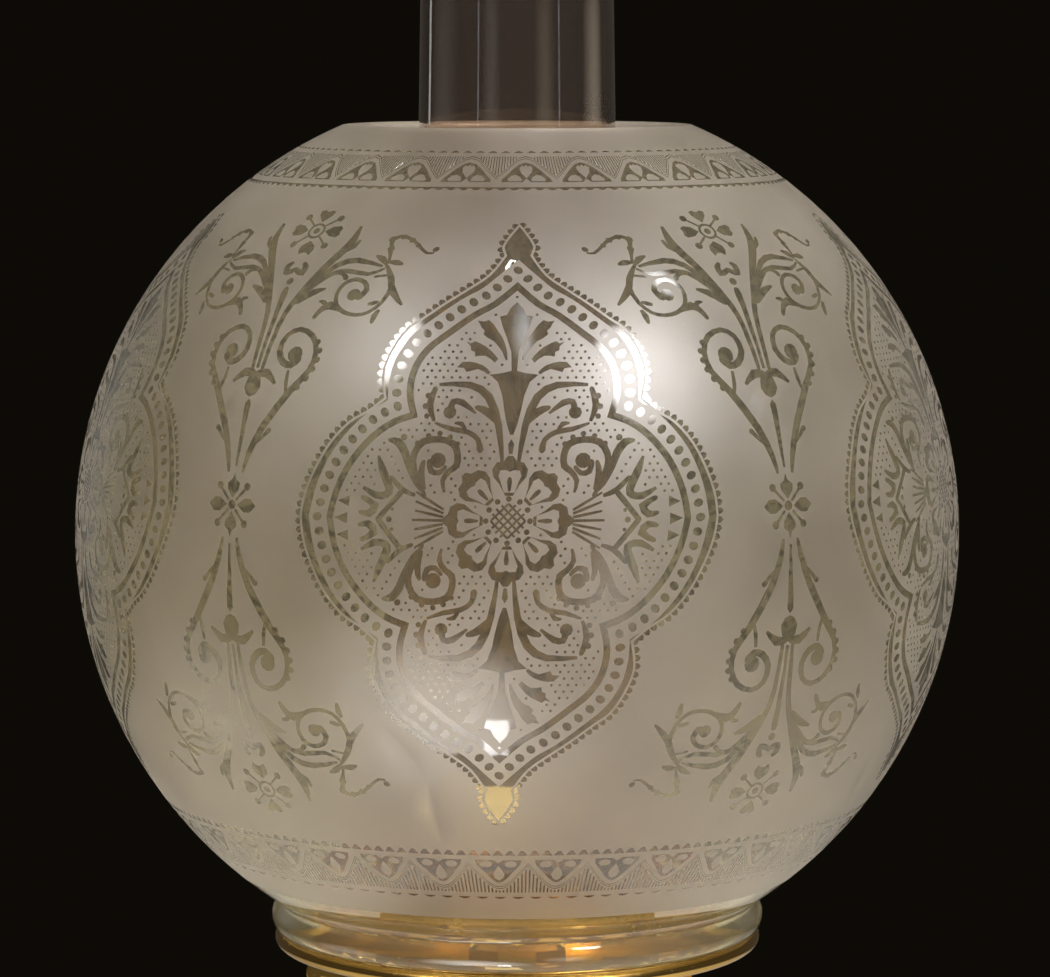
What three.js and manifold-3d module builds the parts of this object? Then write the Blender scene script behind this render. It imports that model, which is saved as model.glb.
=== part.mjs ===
// An oil lamp with a two-wick burner: a brass foot, a porcelain body with a lift-out font,
// a pierced brass gallery, a clear chimney and an etched ball shade. Millimetres, +Z up,
// origin at the middle of the foot's underside, wicks along X.
import * as THREE from 'three';
import { mergeVertices } from 'three/addons/utils/BufferGeometryUtils.js';
import Module from 'manifold-3d';

const wasm = await Module();
wasm.setup();

// Clearances
const seatGap = 0.3;
const liftGap = 1;
const wheelGap = 0.15;
const cutOverrun = 1;

// Foot, knop, socket and the rod that ties them to the body
const footRadius = 80;
const footHeight = 40;
const rodRadius = 3;
const knopRadius = 17;
const knopHeight = 12;
const socketFloor = 3.5;
const socketLipHeight = 5;
const socketLipWall = 2.2;
const socketStemRadius = 22;
const washerThickness = 1.2;
const washerRadius = 14;
const cushionThickness = 2;
const nutRadius = 6.5;
const nutHeight = 5;
const rodShow = 2;

// Porcelain body and the brass mount on its neck
const bodyHeight = 184;
const bellyRadius = 84;
const bodyFootRadius = 42;
const bodyFootRingHeight = 3;
const bodyWall = 4.5;
const bodyFloor = 7;
const neckRadius = 62;
const neckHeight = 13;
const mountSleeveDepth = 16;
const mountSleeveWall = 2.2;
const mountSkirtDepth = 9;
const mountSpread = 4.2;
const mountRise = 9.5;

// Font: bowl, shoulder and threaded collar
const bowlDepth = 80;
const fontWall = 1.2;
const flangeInset = 1.5;
const flangeThickness = 1.5;
const shoulderOverhang = 4;
const shoulderHeight = 21;
const shoulderHoleRadius = 21;
const fontCollarBore = 22;
const fontCollarRadius = 26;
const fontCollarHeight = 11;

// Burner
const burnerSkirtDepth = 8;
const burnerSkirtWall = 1.5;
const burnerPlate = 2;
const burnerBaseRadius = 27;
const burnerBaseHeight = 8;
const basketBottomRadius = 24;
const basketTopRadius = 34.6;
const basketHeight = 38;
const sheetWall = 0.8;
const airHoleWidth = 4.4;
const airHoleHeight = 12;
const airHoleCount = 12;

// Wicks and their tubes
const wickWidth = 25;
const wickThickness = 2.6;
const wickSpacing = 17;
const wickPlay = 0.4;
const tubeWall = 0.8;
const tubeDrop = 12;
const tubeRise = 10.5;
const wickShow = 0.5;
const wickFloorGap = 14;

// Winders: a spindle with toothed wheels for each wick, through the basket's side
const spindleRadius = 1.3;
const wheelRadius = 4.6;
const toothDepth = 0.9;
const wheelTeeth = 10;
const wheelWidth = 1.6;
const wheelSpacing = 14;
const wheelsPerWick = 2;
const winderHeight = 14;
const spindleInnerReach = 13;
const spindleOuterReach = 48;
const glandRadius = 3;
const glandCollarRadius = 4.2;
const glandInnerReach = 22;
const glandCollarReach = 28;
const glandOuterReach = 31;
const knobRadius = 9.5;
const knobThickness = 4;
const knobRidges = 18;
const knobRidgeDepth = 0.8;
const knobHubRadius = 4;
const knobHubLength = 3;

// Extinguisher: two linked sleeves on the tubes, raised by a lever on a pin
const sleeveWall = 0.7;
const sleeveBottomHeight = 23;
const sleeveHeight = 22;
const bridgeThickness = 1.5;
const bridgeHalfLength = 10;
const armReach = 19.5;
const armHalfWidth = 3;
const leverPinReach = 31.3;
const leverTipReach = 17;
const leverThumbReach = 52;
const leverThumbRise = 5;
const leverThumbRadius = 3.4;
const leverWidth = 3;
const leverThickness = 1.6;
const leverBossRadius = 2.6;
const pinRadius = 1;
const earThickness = 1.2;
const earHalfHeight = 3.2;
const earReach = 34.6;

// Gallery: seat ring, pierced crown, air plate, chimney holder and flame dome
const galleryPlateThickness = 1;
const galleryPlateHole = 27;
const gallerySkirtDepth = 8;
const gallerySkirtWall = 1;
const plateHoleRadius = 4.2;
const plateHoleLength = 10;
const crownRadius = 53;
const crownHeight = 15;
const crownRepeats = 20;
const crownOvalWidth = 11.6;
const crownOvalHeight = 5;
const crownOvalRise = 8.8;
const crownBellWidth = 7.4;
const crownBellHeight = 3.4;
const crownBellRise = 1.8;
const crownDartWidth = 5.6;
const crownDartHeight = 2.2;
const crownDartRise = 2.6;
const seatRingRadius = 63.4;
const beadRadius = 2;
const seatRingThickness = 1.6;
const holderWall = 0.95;
const holderHeight = 15.5;
const holderBandHeight = 4;
const holderFingers = 8;
const fingerSlotWidth = 4;
const fingerFlare = 1.4;
const domeHeight = 18;
const domeBaseHeight = 3;
const domeSlotLength = 29;
const domeSlotWidth = 5;

// Chimney
const chimneyHeight = 254;
const chimneyFootRadius = 31.75;
const chimneyFootHeight = 19;
const chimneyBulgeRadius = 38;
const chimneyBulgeTop = 104;
const chimneyWaistRadius = 26.8;
const chimneyTopRadius = 24.6;
const chimneyWall = 2;

// Ball shade with its fitting collar
const ballRadius = 114.3;
const ballWall = 3;
const ballMouthRadius = 43.6;
const fitterHeight = 8.24;
const fitterRadius = 64.2;
const fitterNeckRadius = 62.4;
const fitterFootInset = 2.4;
const fitterFootRound = 1.4;
const fitterWall = 3.4;

// Steps round and along the turned pieces
const bigSegments = 28;
const midSegments = 24;
const smallSegments = 16;
const holeSegments = 8;
const coarseHoleSegments = 6;
const pinSegments = 10;
const bodyOuterSteps = 8;
const bodyInnerSteps = 5;
const chimneySteps = 7;
const ballOuterSteps = 10;
const ballInnerSteps = 5;
const beadSteps = 4;
const domeSteps = 4;

// Levels, from the table up
const knopBottomZ = footHeight + seatGap;
const socketBottomZ = knopBottomZ + knopHeight + seatGap;
const bodyBottomZ = socketBottomZ + socketFloor + seatGap;
const bodyTopZ = bodyBottomZ + bodyHeight;
const mountTopZ = bodyTopZ + mountRise;
const fontFlangeZ = mountTopZ + seatGap;
const fontCollarZ = fontFlangeZ + shoulderHeight + seatGap;
const burnerZ = fontCollarZ + fontCollarHeight + seatGap;
const basketZ = burnerZ + burnerBaseHeight + seatGap;
const galleryZ = basketZ + basketHeight + seatGap;
const gallerySeatZ = galleryZ + galleryPlateThickness;
const glassFootZ = gallerySeatZ + seatGap;
const tubeTopZ = gallerySeatZ + tubeRise;
const winderZ = basketZ + winderHeight;
const sleeveZ = basketZ + sleeveBottomHeight;
const leverZ = sleeveZ - seatGap - leverThickness / 2;

const point = (radius, height) => new THREE.Vector2(radius, height);

// A line through shares of a radius and a height, as straight runs
const line = (shares, radius, height) => shares.map(([r, h]) => point(r * radius, h * height));

// A smooth line through the same kind of shares
const curve = (shares, radius, height, steps) =>
  new THREE.SplineCurve(line(shares, radius, height)).getPoints(steps);

// The line a wall's thickness to the left of an outline, which is inwards on a line going up
const inset = (outline, wall) => outline.map((here, index) => {
  const before = outline[Math.max(index - 1, 0)];
  const after = outline[Math.min(index + 1, outline.length - 1)];
  const intoHere = here.clone().sub(index > 0 ? before : here);
  const outOfHere = after.clone().sub(here);
  const first = (index > 0 ? intoHere : outOfHere).clone().normalize();
  const second = (index < outline.length - 1 ? outOfHere : intoHere).clone().normalize();
  const along = first.clone().add(second).normalize();
  const stretch = 1 / Math.max(along.dot(first), 0.5);
  const left = point(-along.y, along.x).multiplyScalar(wall * stretch);
  return here.clone().add(left);
});

// A closed profile: the outline and its inset line back
const walled = (outline, wall) => [...outline, ...inset(outline, wall).reverse()];

// How far out a line is at a height
const radiusAt = (outline, height) => {
  const next = outline.findIndex((spot) => spot.y > height);
  const low = outline[next - 1];
  const high = outline[next];
  const share = (height - low.y) / (high.y - low.y);
  return low.x + share * (high.x - low.x);
};

// Turns a profile round Z. It closes on itself unless both ends are on the axis.
const turned = (profile, segments, bottomZ = 0) => {
  const ends = [profile[0], profile[profile.length - 1]];
  const onAxis = ends.every((end) => end.x === 0);
  const closed = onAxis ? profile : [...profile, profile[0].clone()];
  const geometry = new THREE.LatheGeometry(closed, segments);
  geometry.rotateX(Math.PI / 2);
  geometry.translate(0, 0, bottomZ);
  return geometry;
};

const block = ([x0, x1], [y0, y1], [z0, z1]) => {
  const geometry = new THREE.BoxGeometry(x1 - x0, y1 - y0, z1 - z0);
  geometry.translate((x0 + x1) / 2, (y0 + y1) / 2, (z0 + z1) / 2);
  return geometry;
};

const prism = (shape, depth, curveSegments) =>
  new THREE.ExtrudeGeometry(shape, { depth, curveSegments, bevelEnabled: false });

// A cylinder along X between two places
const barX = (radius, x0, x1, segments) => {
  const geometry = new THREE.CylinderGeometry(radius, radius, x1 - x0, segments);
  geometry.rotateZ(Math.PI / 2);
  geometry.translate((x0 + x1) / 2, 0, 0);
  return geometry;
};

// A cylinder along Y, about the middle
const barY = (radius, length, segments) => new THREE.CylinderGeometry(radius, radius, length, segments);

const solid = (geometry) => {
  const bare = geometry.clone();
  bare.deleteAttribute('normal');
  bare.deleteAttribute('uv');
  const merged = mergeVertices(bare);
  const index = merged.index.array;
  const triangles = [];
  for (let first = 0; first < index.length; first += 3) {
    const [a, b, c] = [index[first], index[first + 1], index[first + 2]];
    if (a !== b && b !== c && c !== a) triangles.push(a, b, c);
  }
  return new wasm.Manifold(new wasm.Mesh({
    numProp: 3,
    vertProperties: Float32Array.from(merged.attributes.position.array),
    triVerts: Uint32Array.from(triangles),
  }));
};

const joined = (geometries) => geometries.map(solid).reduce((all, one) => all.add(one));

const meshed = (body) => {
  const { vertProperties, triVerts } = body.getMesh();
  const geometry = new THREE.BufferGeometry();
  geometry.setAttribute('position', new THREE.BufferAttribute(vertProperties, 3));
  geometry.setIndex(new THREE.BufferAttribute(triVerts, 1));
  geometry.computeVertexNormals();
  return geometry;
};

const cut = (geometry, cutters) => meshed(solid(geometry).subtract(joined(cutters)));

// A tool that cuts a flat shape through a wall: shape across X, up along Y, placed round Z
const radialTool = (shape, radius, depth, angle, height, curveSegments) => {
  const tool = prism(shape, depth, curveSegments);
  tool.translate(0, 0, radius);
  const across = new THREE.Vector3(-Math.sin(angle), Math.cos(angle), 0);
  const outward = new THREE.Vector3(Math.cos(angle), Math.sin(angle), 0);
  const up = new THREE.Vector3(0, 0, 1);
  tool.applyMatrix4(new THREE.Matrix4().makeBasis(across, up, outward));
  tool.translate(0, 0, height);
  return tool;
};

const aroundTurn = (count, place) =>
  Array.from({ length: count }, (unused, index) => place(index * 2 * Math.PI / count, index));

// A flat shape with half-round ends, length along X
const roundEnded = (length, width) => {
  const half = (length - width) / 2;
  const shape = new THREE.Shape();
  shape.absarc(half, 0, width / 2, -Math.PI / 2, Math.PI / 2);
  shape.absarc(-half, 0, width / 2, Math.PI / 2, 3 * Math.PI / 2);
  shape.closePath();
  return shape;
};

const ovalShape = (width, height) => {
  const shape = new THREE.Shape();
  shape.absellipse(0, 0, width / 2, height / 2, 0, 2 * Math.PI);
  return shape;
};

const shapeFrom = (shares, width, height) => {
  const shape = new THREE.Shape();
  shape.setFromPoints(shares.map(([x, y]) => point(x * width, y * height)));
  return shape;
};

// A wheel with pointed teeth, or a knob with ridges
const toothedShape = (radius, depth, teeth) => {
  const shape = new THREE.Shape();
  const step = Math.PI / teeth;
  const corners = Array.from({ length: 2 * teeth }, (unused, index) => {
    const reach = index % 2 ? radius - depth : radius;
    return point(reach * Math.cos(index * step), reach * Math.sin(index * step));
  });
  shape.setFromPoints(corners);
  return shape;
};

const brass = { color: 0xc79a3e, metalness: 1, roughness: 0.28 };
const lacquer = { color: 0xb98a35, metalness: 1, roughness: 0.4 };
const steel = { color: 0x8d8f92, metalness: 1, roughness: 0.45 };
const porcelain = { color: 0xf3ecdc, metalness: 0, roughness: 0.12 };
const etchedGlass = { color: 0xdcd5ca, metalness: 0, roughness: 0.5, transparent: true, opacity: 0.75 };
const clearGlass = { color: 0xf4f7f6, metalness: 0, roughness: 0.03, transparent: true, opacity: 0.3 };
const cotton = { color: 0xe9e0c8, metalness: 0, roughness: 0.95 };
const felt = { color: 0x6b4a33, metalness: 0, roughness: 0.95 };

const lamp = new THREE.Group();
const add = (name, geometry, look) => {
  const mesh = new THREE.Mesh(geometry, new THREE.MeshStandardMaterial({ ...look }));
  mesh.name = name;
  lamp.add(mesh);
  return mesh;
};

// Foot: a stepped brass casting, hollow below
const rodBore = rodRadius + seatGap;
const footOutlineShares = [
  [1, 0], [1, 0.1], [0.9, 0.16], [0.86, 0.27], [0.72, 0.36], [0.56, 0.47], [0.42, 0.67], [0.36, 0.93], [0.3, 1],
];
const footHollowShares = [
  [0.25, 0.89], [0.31, 0.82], [0.38, 0.59], [0.54, 0.36], [0.8, 0.2], [0.875, 0.07], [0.95, 0],
];
const footHollow = line(footHollowShares, footRadius, footHeight);
const footRoof = footHollow[0].y;
const footProfile = [
  ...line(footOutlineShares, footRadius, footHeight),
  point(rodBore, footHeight),
  point(rodBore, footRoof),
  ...footHollow,
];
add('foot', turned(footProfile, midSegments), brass);

// Knop between foot and socket
const knopShares = [[0.8, 0], [0.9, 0.1], [1, 0.32], [0.97, 0.5], [0.72, 0.72], [0.7, 0.82], [0.86, 1]];
const knopProfile = [
  point(rodBore, 0),
  ...line(knopShares, knopRadius, knopHeight),
  point(rodBore, knopHeight),
];
add('knop', turned(knopProfile, smallSegments, knopBottomZ), brass);

// Socket: a dish whose lip holds the body's foot
const socketLipInner = bodyFootRadius + seatGap;
const socketRadius = socketLipInner + socketLipWall;
const socketHeight = socketFloor + socketLipHeight;
const socketShares = [[0, 0], [0.16, 0.12], [0.7, 0.42], [1, 0.72], [1, 1]];
const socketSpread = socketRadius - socketStemRadius;
const socketOutline = socketShares.map(([r, h]) =>
  point(socketStemRadius + r * socketSpread, h * socketHeight));
const socketProfile = [
  point(rodBore, 0),
  ...socketOutline,
  point(socketLipInner, socketHeight),
  point(socketLipInner, socketFloor),
  point(rodBore, socketFloor),
];
add('body_socket', turned(socketProfile, bigSegments, socketBottomZ), brass);

// Body: a baluster of porcelain with a straight neck and a hole in its floor
const bodyShares = [
  [0.5, 0], [0.495, 0.05], [0.555, 0.16], [0.72, 0.3], [0.9, 0.46], [1, 0.65], [0.965, 0.82], [0.85, 0.95],
];
const bodyCurveHeight = bodyHeight - neckHeight;
const bodyLine = (steps) => [
  ...curve(bodyShares, bellyRadius, bodyCurveHeight, steps),
  point(neckRadius, bodyCurveHeight),
  point(neckRadius, bodyHeight),
];
const bodyOutline = bodyLine(bodyOuterSteps);
const bodyInside = inset(bodyLine(bodyInnerSteps), bodyWall);
const bodyFloorTop = bodyFootRingHeight + bodyFloor;
const bodyFootInner = bodyFootRadius - 2 * bodyWall;
const bodyProfile = [
  point(rodBore, bodyFootRingHeight),
  point(bodyFootInner, bodyFootRingHeight),
  point(bodyFootInner, 0),
  ...bodyOutline,
  ...bodyInside.filter((spot) => spot.y > bodyFloorTop).reverse(),
  point(radiusAt(bodyInside, bodyFloorTop), bodyFloorTop),
  point(rodBore, bodyFloorTop),
];
add('porcelain_body', turned(bodyProfile, bigSegments, bodyBottomZ), porcelain);

// Tie rod with a washer and nut at each end, and a cushion under the upper washer
const ring = (bore, radius, height) =>
  [point(bore, 0), point(radius, 0), point(radius, height), point(bore, height)];
const nutShape = () => {
  const shape = new THREE.Shape();
  const corners = Array.from({ length: 6 }, (unused, index) => {
    const angle = index * Math.PI / 3;
    return point(nutRadius * Math.cos(angle), nutRadius * Math.sin(angle));
  });
  shape.setFromPoints(corners);
  const hole = new THREE.Path();
  hole.absarc(0, 0, rodBore, 0, 2 * Math.PI, true);
  shape.holes.push(hole);
  return shape;
};
const nut = (bottomZ) => {
  const geometry = prism(nutShape(), nutHeight, holeSegments);
  geometry.translate(0, 0, bottomZ);
  return geometry;
};
const lowerWasherZ = footRoof - seatGap - washerThickness;
const lowerNutZ = lowerWasherZ - seatGap - nutHeight;
const cushionZ = bodyBottomZ + bodyFloorTop + seatGap;
const upperWasherZ = cushionZ + cushionThickness + seatGap;
const upperNutZ = upperWasherZ + washerThickness + seatGap;
const rodBottomZ = lowerNutZ - rodShow;
const rodTopZ = upperNutZ + nutHeight + rodShow;
const rodLength = rodTopZ - rodBottomZ;
const rodProfile = [point(0, 0), point(rodRadius, 0), point(rodRadius, rodLength), point(0, rodLength)];
add('tie_rod', turned(rodProfile, pinSegments, rodBottomZ), steel);
add('lower_washer', turned(ring(rodBore, washerRadius, washerThickness), pinSegments, lowerWasherZ), steel);
add('lower_nut', nut(lowerNutZ), steel);
add('cushion_washer', turned(ring(rodBore, washerRadius, cushionThickness), pinSegments, cushionZ), felt);
add('upper_washer', turned(ring(rodBore, washerRadius, washerThickness), pinSegments, upperWasherZ), steel);
add('upper_nut', nut(upperNutZ), steel);

// Mount: a brass ring over the body's lip, with a sleeve inside and a beaded skirt outside
const sleeveOuter = neckRadius - bodyWall - seatGap;
const mountBore = sleeveOuter - mountSleeveWall;
const skirtInner = neckRadius + seatGap;
const mountSkirtShares = [[0.4, 0], [0.45, 0.2], [1, 0.36], [1, 0.5], [0.3, 0.74], [0.6, 1]];
const mountFullHeight = mountSkirtDepth + mountRise;
const mountSkirt = mountSkirtShares.map(([r, h]) =>
  point(skirtInner + r * mountSpread, h * mountFullHeight - mountSkirtDepth));
const mountProfile = [
  point(mountBore, -mountSleeveDepth),
  point(sleeveOuter, -mountSleeveDepth),
  point(sleeveOuter, seatGap),
  point(skirtInner, seatGap),
  point(skirtInner, -mountSkirtDepth),
  ...mountSkirt,
  point(mountBore, mountRise),
];
add('neck_mount', turned(mountProfile, bigSegments, bodyTopZ), brass);

// Font bowl, hung from the shoulder's flange
const bowlShares = [[0, 0], [0.66, 0.02], [0.9, 0.12], [1, 0.32], [1, 1]];
const bowlRadius = mountBore - liftGap;
const bowlZ = fontFlangeZ - seatGap - bowlDepth;
const bowlProfile = walled(line(bowlShares, bowlRadius, bowlDepth), fontWall);
bowlProfile[bowlProfile.length - 1].x = 0;
add('font_bowl', turned(bowlProfile, midSegments, bowlZ), lacquer);

// Font shoulder: a flange on the mount and a dome up to the collar
const domeShares = [[1, 0], [0.95, 0.3], [0.74, 0.68], [0.46, 0.88]];
const flangeRadius = skirtInner + mountSpread - flangeInset;
const shoulderRadius = bowlRadius + shoulderOverhang;
const shoulderRise = shoulderHeight - flangeThickness;
const shoulderCurve = line(domeShares, shoulderRadius, shoulderRise);
const shoulderOutline = [...shoulderCurve, point(shoulderHoleRadius, shoulderRise)];
const shoulderWall = walled(shoulderOutline, fontWall).map((spot) => point(spot.x, spot.y + flangeThickness));
const flangeInner = bowlRadius - 2 * fontWall;
const shoulderProfile = [
  point(flangeInner, 0),
  point(flangeRadius, 0),
  point(flangeRadius, flangeThickness),
  ...shoulderWall,
  point(flangeInner, flangeThickness),
];
add('font_shoulder', turned(shoulderProfile, midSegments, fontFlangeZ), lacquer);

// Font collar that the burner fits into
const fontCollarShares = [[0.2, 0], [1, 0.14], [1, 0.3], [0.55, 0.45], [1, 0.6], [1, 0.86], [0.7, 1]];
const fontCollarSpread = fontCollarRadius - fontCollarBore;
const fontCollarProfile = [
  point(fontCollarBore, 0),
  ...fontCollarShares.map(([r, h]) => point(fontCollarBore + r * fontCollarSpread, h * fontCollarHeight)),
  point(fontCollarBore, fontCollarHeight),
];
add('font_collar', turned(fontCollarProfile, smallSegments, fontCollarZ), brass);

// Wick tubes: sizes shared by the tubes, the slots they stand in and the sleeves on them
const tubeInnerLength = wickWidth + 2 * wickPlay;
const tubeInnerWidth = wickThickness + 2 * wickPlay;
const tubeLength = tubeInnerLength + 2 * tubeWall;
const tubeWidth = tubeInnerWidth + 2 * tubeWall;
const tubeSlot = () => roundEnded(tubeLength + 2 * seatGap, tubeWidth + 2 * seatGap);
const wickSides = [-wickSpacing / 2, wickSpacing / 2];
const sideNames = ['front', 'back'];
const flatTubeSteps = 2;
const flatTube = (length, width, wall, height) => {
  const shape = roundEnded(length, width);
  shape.holes.push(roundEnded(length - 2 * wall, width - 2 * wall));
  return prism(shape, height, flatTubeSteps);
};
const placed = (geometry, x, y, z) => geometry.translate(x, y, z);

// Burner base: a plate with a skirt in the font collar and a rim under the basket
const skirtOuter = fontCollarBore - seatGap;
const skirtBore = skirtOuter - burnerSkirtWall;
const rimRadius = basketBottomRadius;
const rimInner = rimRadius - burnerSkirtWall;
const baseProfile = [
  point(0, 0),
  point(skirtBore, 0),
  point(skirtBore, -burnerSkirtDepth),
  point(skirtOuter, -burnerSkirtDepth),
  point(skirtOuter, 0),
  point(burnerBaseRadius, 0),
  point(burnerBaseRadius, burnerPlate),
  point(rimRadius, 2 * burnerPlate),
  point(rimRadius, burnerBaseHeight),
  point(rimInner, burnerBaseHeight),
  point(rimInner, burnerPlate),
  point(0, burnerPlate),
];
const baseSlots = wickSides.map((y) =>
  placed(prism(tubeSlot(), burnerPlate + 2 * cutOverrun, flatTubeSteps), 0, y, burnerZ - cutOverrun));
add('burner_base', cut(turned(baseProfile, smallSegments, burnerZ), baseSlots), brass);

// Basket: a flared, perforated cup with holes for the winders and ears for the lever
const basketShares = [[0, 0], [0.55, 0.5], [1, 1]];
const basketSpread = basketTopRadius - basketBottomRadius;
const basketOutline = basketShares.map(([r, h]) =>
  point(basketBottomRadius + r * basketSpread, h * basketHeight));
const basketWalled = walled(basketOutline, sheetWall);
basketWalled[basketWalled.length - 1].y = 0;
basketWalled[basketShares.length].y = basketHeight;
const basketShell = solid(turned(basketWalled, bigSegments, basketZ));
const basketCore = solid(turned([point(0, 0), ...inset(basketOutline, sheetWall / 2), point(0, basketHeight)],
  bigSegments, basketZ));
const earInner = leverWidth / 2 + seatGap;
const ears = [-1, 1].map((side) => block(
  [-earReach, 0],
  [side * earInner, side * (earInner + earThickness)].sort((a, b) => a - b),
  [leverZ - earHalfHeight, leverZ + earHalfHeight],
));
const earsOutside = joined(ears).subtract(basketCore);
const wheelAxisY = wickSpacing / 2 + wickThickness / 2 + wheelGap + wheelRadius;
const glandHoles = [-wheelAxisY, wheelAxisY].map((y) =>
  placed(barX(glandRadius + seatGap, spindleInnerReach, spindleOuterReach, pinSegments), 0, y, winderZ));
const leverSlot = block(
  [-earReach - cutOverrun, -leverTipReach],
  [-earInner, earInner],
  [leverZ - earHalfHeight, leverZ + earHalfHeight],
);
const pinHole = placed(barY(pinRadius + seatGap, 4 * earReach, pinSegments), -leverPinReach, 0, leverZ);
const airHoleZ = basketZ + basketHeight - airHoleHeight;
const airHoles = aroundTurn(airHoleCount, (angle) => radialTool(
  ovalShape(airHoleWidth, airHoleHeight), basketBottomRadius, basketTopRadius,
  angle + Math.PI / airHoleCount, airHoleZ, coarseHoleSegments / 2,
));
const basketCuts = joined([...glandHoles, leverSlot, pinHole, ...airHoles]);
const basketBody = basketShell.add(earsOutside).subtract(basketCuts);
add('burner_basket', meshed(basketBody), brass);

// Wick tubes with slots for the winders' wheels, and the wicks in them
const tubeBottomZ = burnerZ - tubeDrop;
const wheelPlaces = Array.from({ length: wheelsPerWick }, (unused, index) =>
  (index - (wheelsPerWick - 1) / 2) * wheelSpacing);
const wickBottomZ = bowlZ + wickFloorGap;
const wickTopZ = tubeTopZ + wickShow;
wickSides.forEach((y, index) => {
  const outward = Math.sign(y);
  const tube = placed(flatTube(tubeLength, tubeWidth, tubeWall, tubeTopZ - tubeBottomZ), 0, y, tubeBottomZ);
  const wallMiddle = y + outward * (tubeWidth - tubeWall) / 2;
  const slots = wheelPlaces.map((x) => block(
    [x - wheelWidth / 2 - seatGap, x + wheelWidth / 2 + seatGap],
    [wallMiddle - tubeWall, wallMiddle + tubeWall],
    [winderZ - wheelRadius + toothDepth, winderZ + wheelRadius - toothDepth],
  ));
  add(`wick_tube_${sideNames[index]}`, cut(tube, slots), brass);
  const wick = prism(roundEnded(wickWidth, wickThickness), wickTopZ - wickBottomZ, flatTubeSteps);
  add(`wick_${sideNames[index]}`, placed(wick, 0, y, wickBottomZ), cotton);
});

// Winders: spindle with wheels, gland in the basket's side, ridged knob outside
const wheelDisc = (x) => {
  const disc = prism(toothedShape(wheelRadius, toothDepth, wheelTeeth), wheelWidth, 1);
  disc.translate(0, 0, -wheelWidth / 2);
  disc.rotateY(Math.PI / 2);
  return placed(disc, x, 0, 0);
};
const glandProfile = [
  point(spindleRadius + seatGap, 0),
  point(glandRadius, 0),
  point(glandRadius, glandCollarReach - glandInnerReach),
  point(glandCollarRadius, glandCollarReach - glandInnerReach),
  point(glandCollarRadius, glandOuterReach - glandInnerReach),
  point(spindleRadius + seatGap, glandOuterReach - glandInnerReach),
];
const knobBore = spindleRadius + seatGap;
const knobShape = toothedShape(knobRadius, knobRidgeDepth, knobRidges);
const alongX = (geometry, x) => placed(geometry.rotateY(Math.PI / 2), x, 0, 0);
const knobStart = spindleOuterReach - knobThickness - knobHubLength + knobHubLength / 2;
const knobBlank = () => joined([
  alongX(prism(knobShape, knobThickness, 1), knobStart),
  barX(knobHubRadius, knobStart - knobHubLength, knobStart + knobThickness / 2, pinSegments),
]);
[-wheelAxisY, wheelAxisY].forEach((y, index) => {
  const spindle = joined([
    barX(spindleRadius, -spindleInnerReach, spindleOuterReach, pinSegments),
    ...wheelPlaces.map(wheelDisc),
  ]);
  add(`winder_shaft_${sideNames[index]}`, placed(meshed(spindle), 0, y, winderZ), steel);
  const gland = alongX(turned(glandProfile, pinSegments), glandInnerReach);
  add(`winder_gland_${sideNames[index]}`, placed(gland, 0, y, winderZ), brass);
  const bore = solid(barX(knobBore, 0, 2 * spindleOuterReach, pinSegments));
  add(`winder_knob_${sideNames[index]}`, placed(meshed(knobBlank().subtract(bore)), 0, y, winderZ), brass);
});

// Extinguisher sleeves, one on each tube, joined by a bridge with an arm to the lever
const sleeveLength = tubeLength + 2 * (seatGap + sleeveWall);
const sleeveWidth = tubeWidth + 2 * (seatGap + sleeveWall);
const bridgeHalfWidth = (wickSpacing - sleeveWidth + sleeveWall) / 2;
const extinguisherSleeves = joined([
  ...wickSides.map((y) => placed(flatTube(sleeveLength, sleeveWidth, sleeveWall, sleeveHeight), 0, y, sleeveZ)),
  block([-bridgeHalfLength, bridgeHalfLength], [-bridgeHalfWidth, bridgeHalfWidth],
    [sleeveZ, sleeveZ + bridgeThickness]),
  block([-armReach, 0], [-armHalfWidth, armHalfWidth], [sleeveZ, sleeveZ + bridgeThickness]),
]);
add('extinguisher_sleeves', meshed(extinguisherSleeves), brass);

// Lever: a flat bar on edge with a boss on the pin and a round thumb end
const leverBar = new THREE.Shape();
leverBar.setFromPoints([
  point(-leverTipReach, leverThickness / 2),
  point(-leverPinReach, leverThickness / 2),
  point(-leverThumbReach, leverThumbRise + leverThickness / 2),
  point(-leverThumbReach, leverThumbRise - leverThickness / 2),
  point(-leverPinReach, -leverThickness / 2),
  point(-leverTipReach, -leverThickness / 2),
]);
const disc = (radius, x, height) => {
  const shape = new THREE.Shape();
  shape.absarc(x, height, radius, 0, 2 * Math.PI);
  return shape;
};
const leverShapes = [leverBar, disc(leverBossRadius, -leverPinReach, 0),
  disc(leverThumbRadius, -leverThumbReach, leverThumbRise)];
const leverPlates = leverShapes.map((shape) => {
  const plate = prism(shape, leverWidth, pinSegments / 2);
  plate.rotateX(Math.PI / 2);
  return placed(plate, 0, leverWidth / 2, leverZ);
});
const lever = joined(leverPlates).subtract(solid(pinHole));
add('extinguisher_lever', meshed(lever), brass);
const pinLength = 2 * (earInner + earThickness + seatGap);
add('lever_pin', placed(barY(pinRadius, pinLength, pinSegments), -leverPinReach, 0, leverZ), steel);

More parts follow.
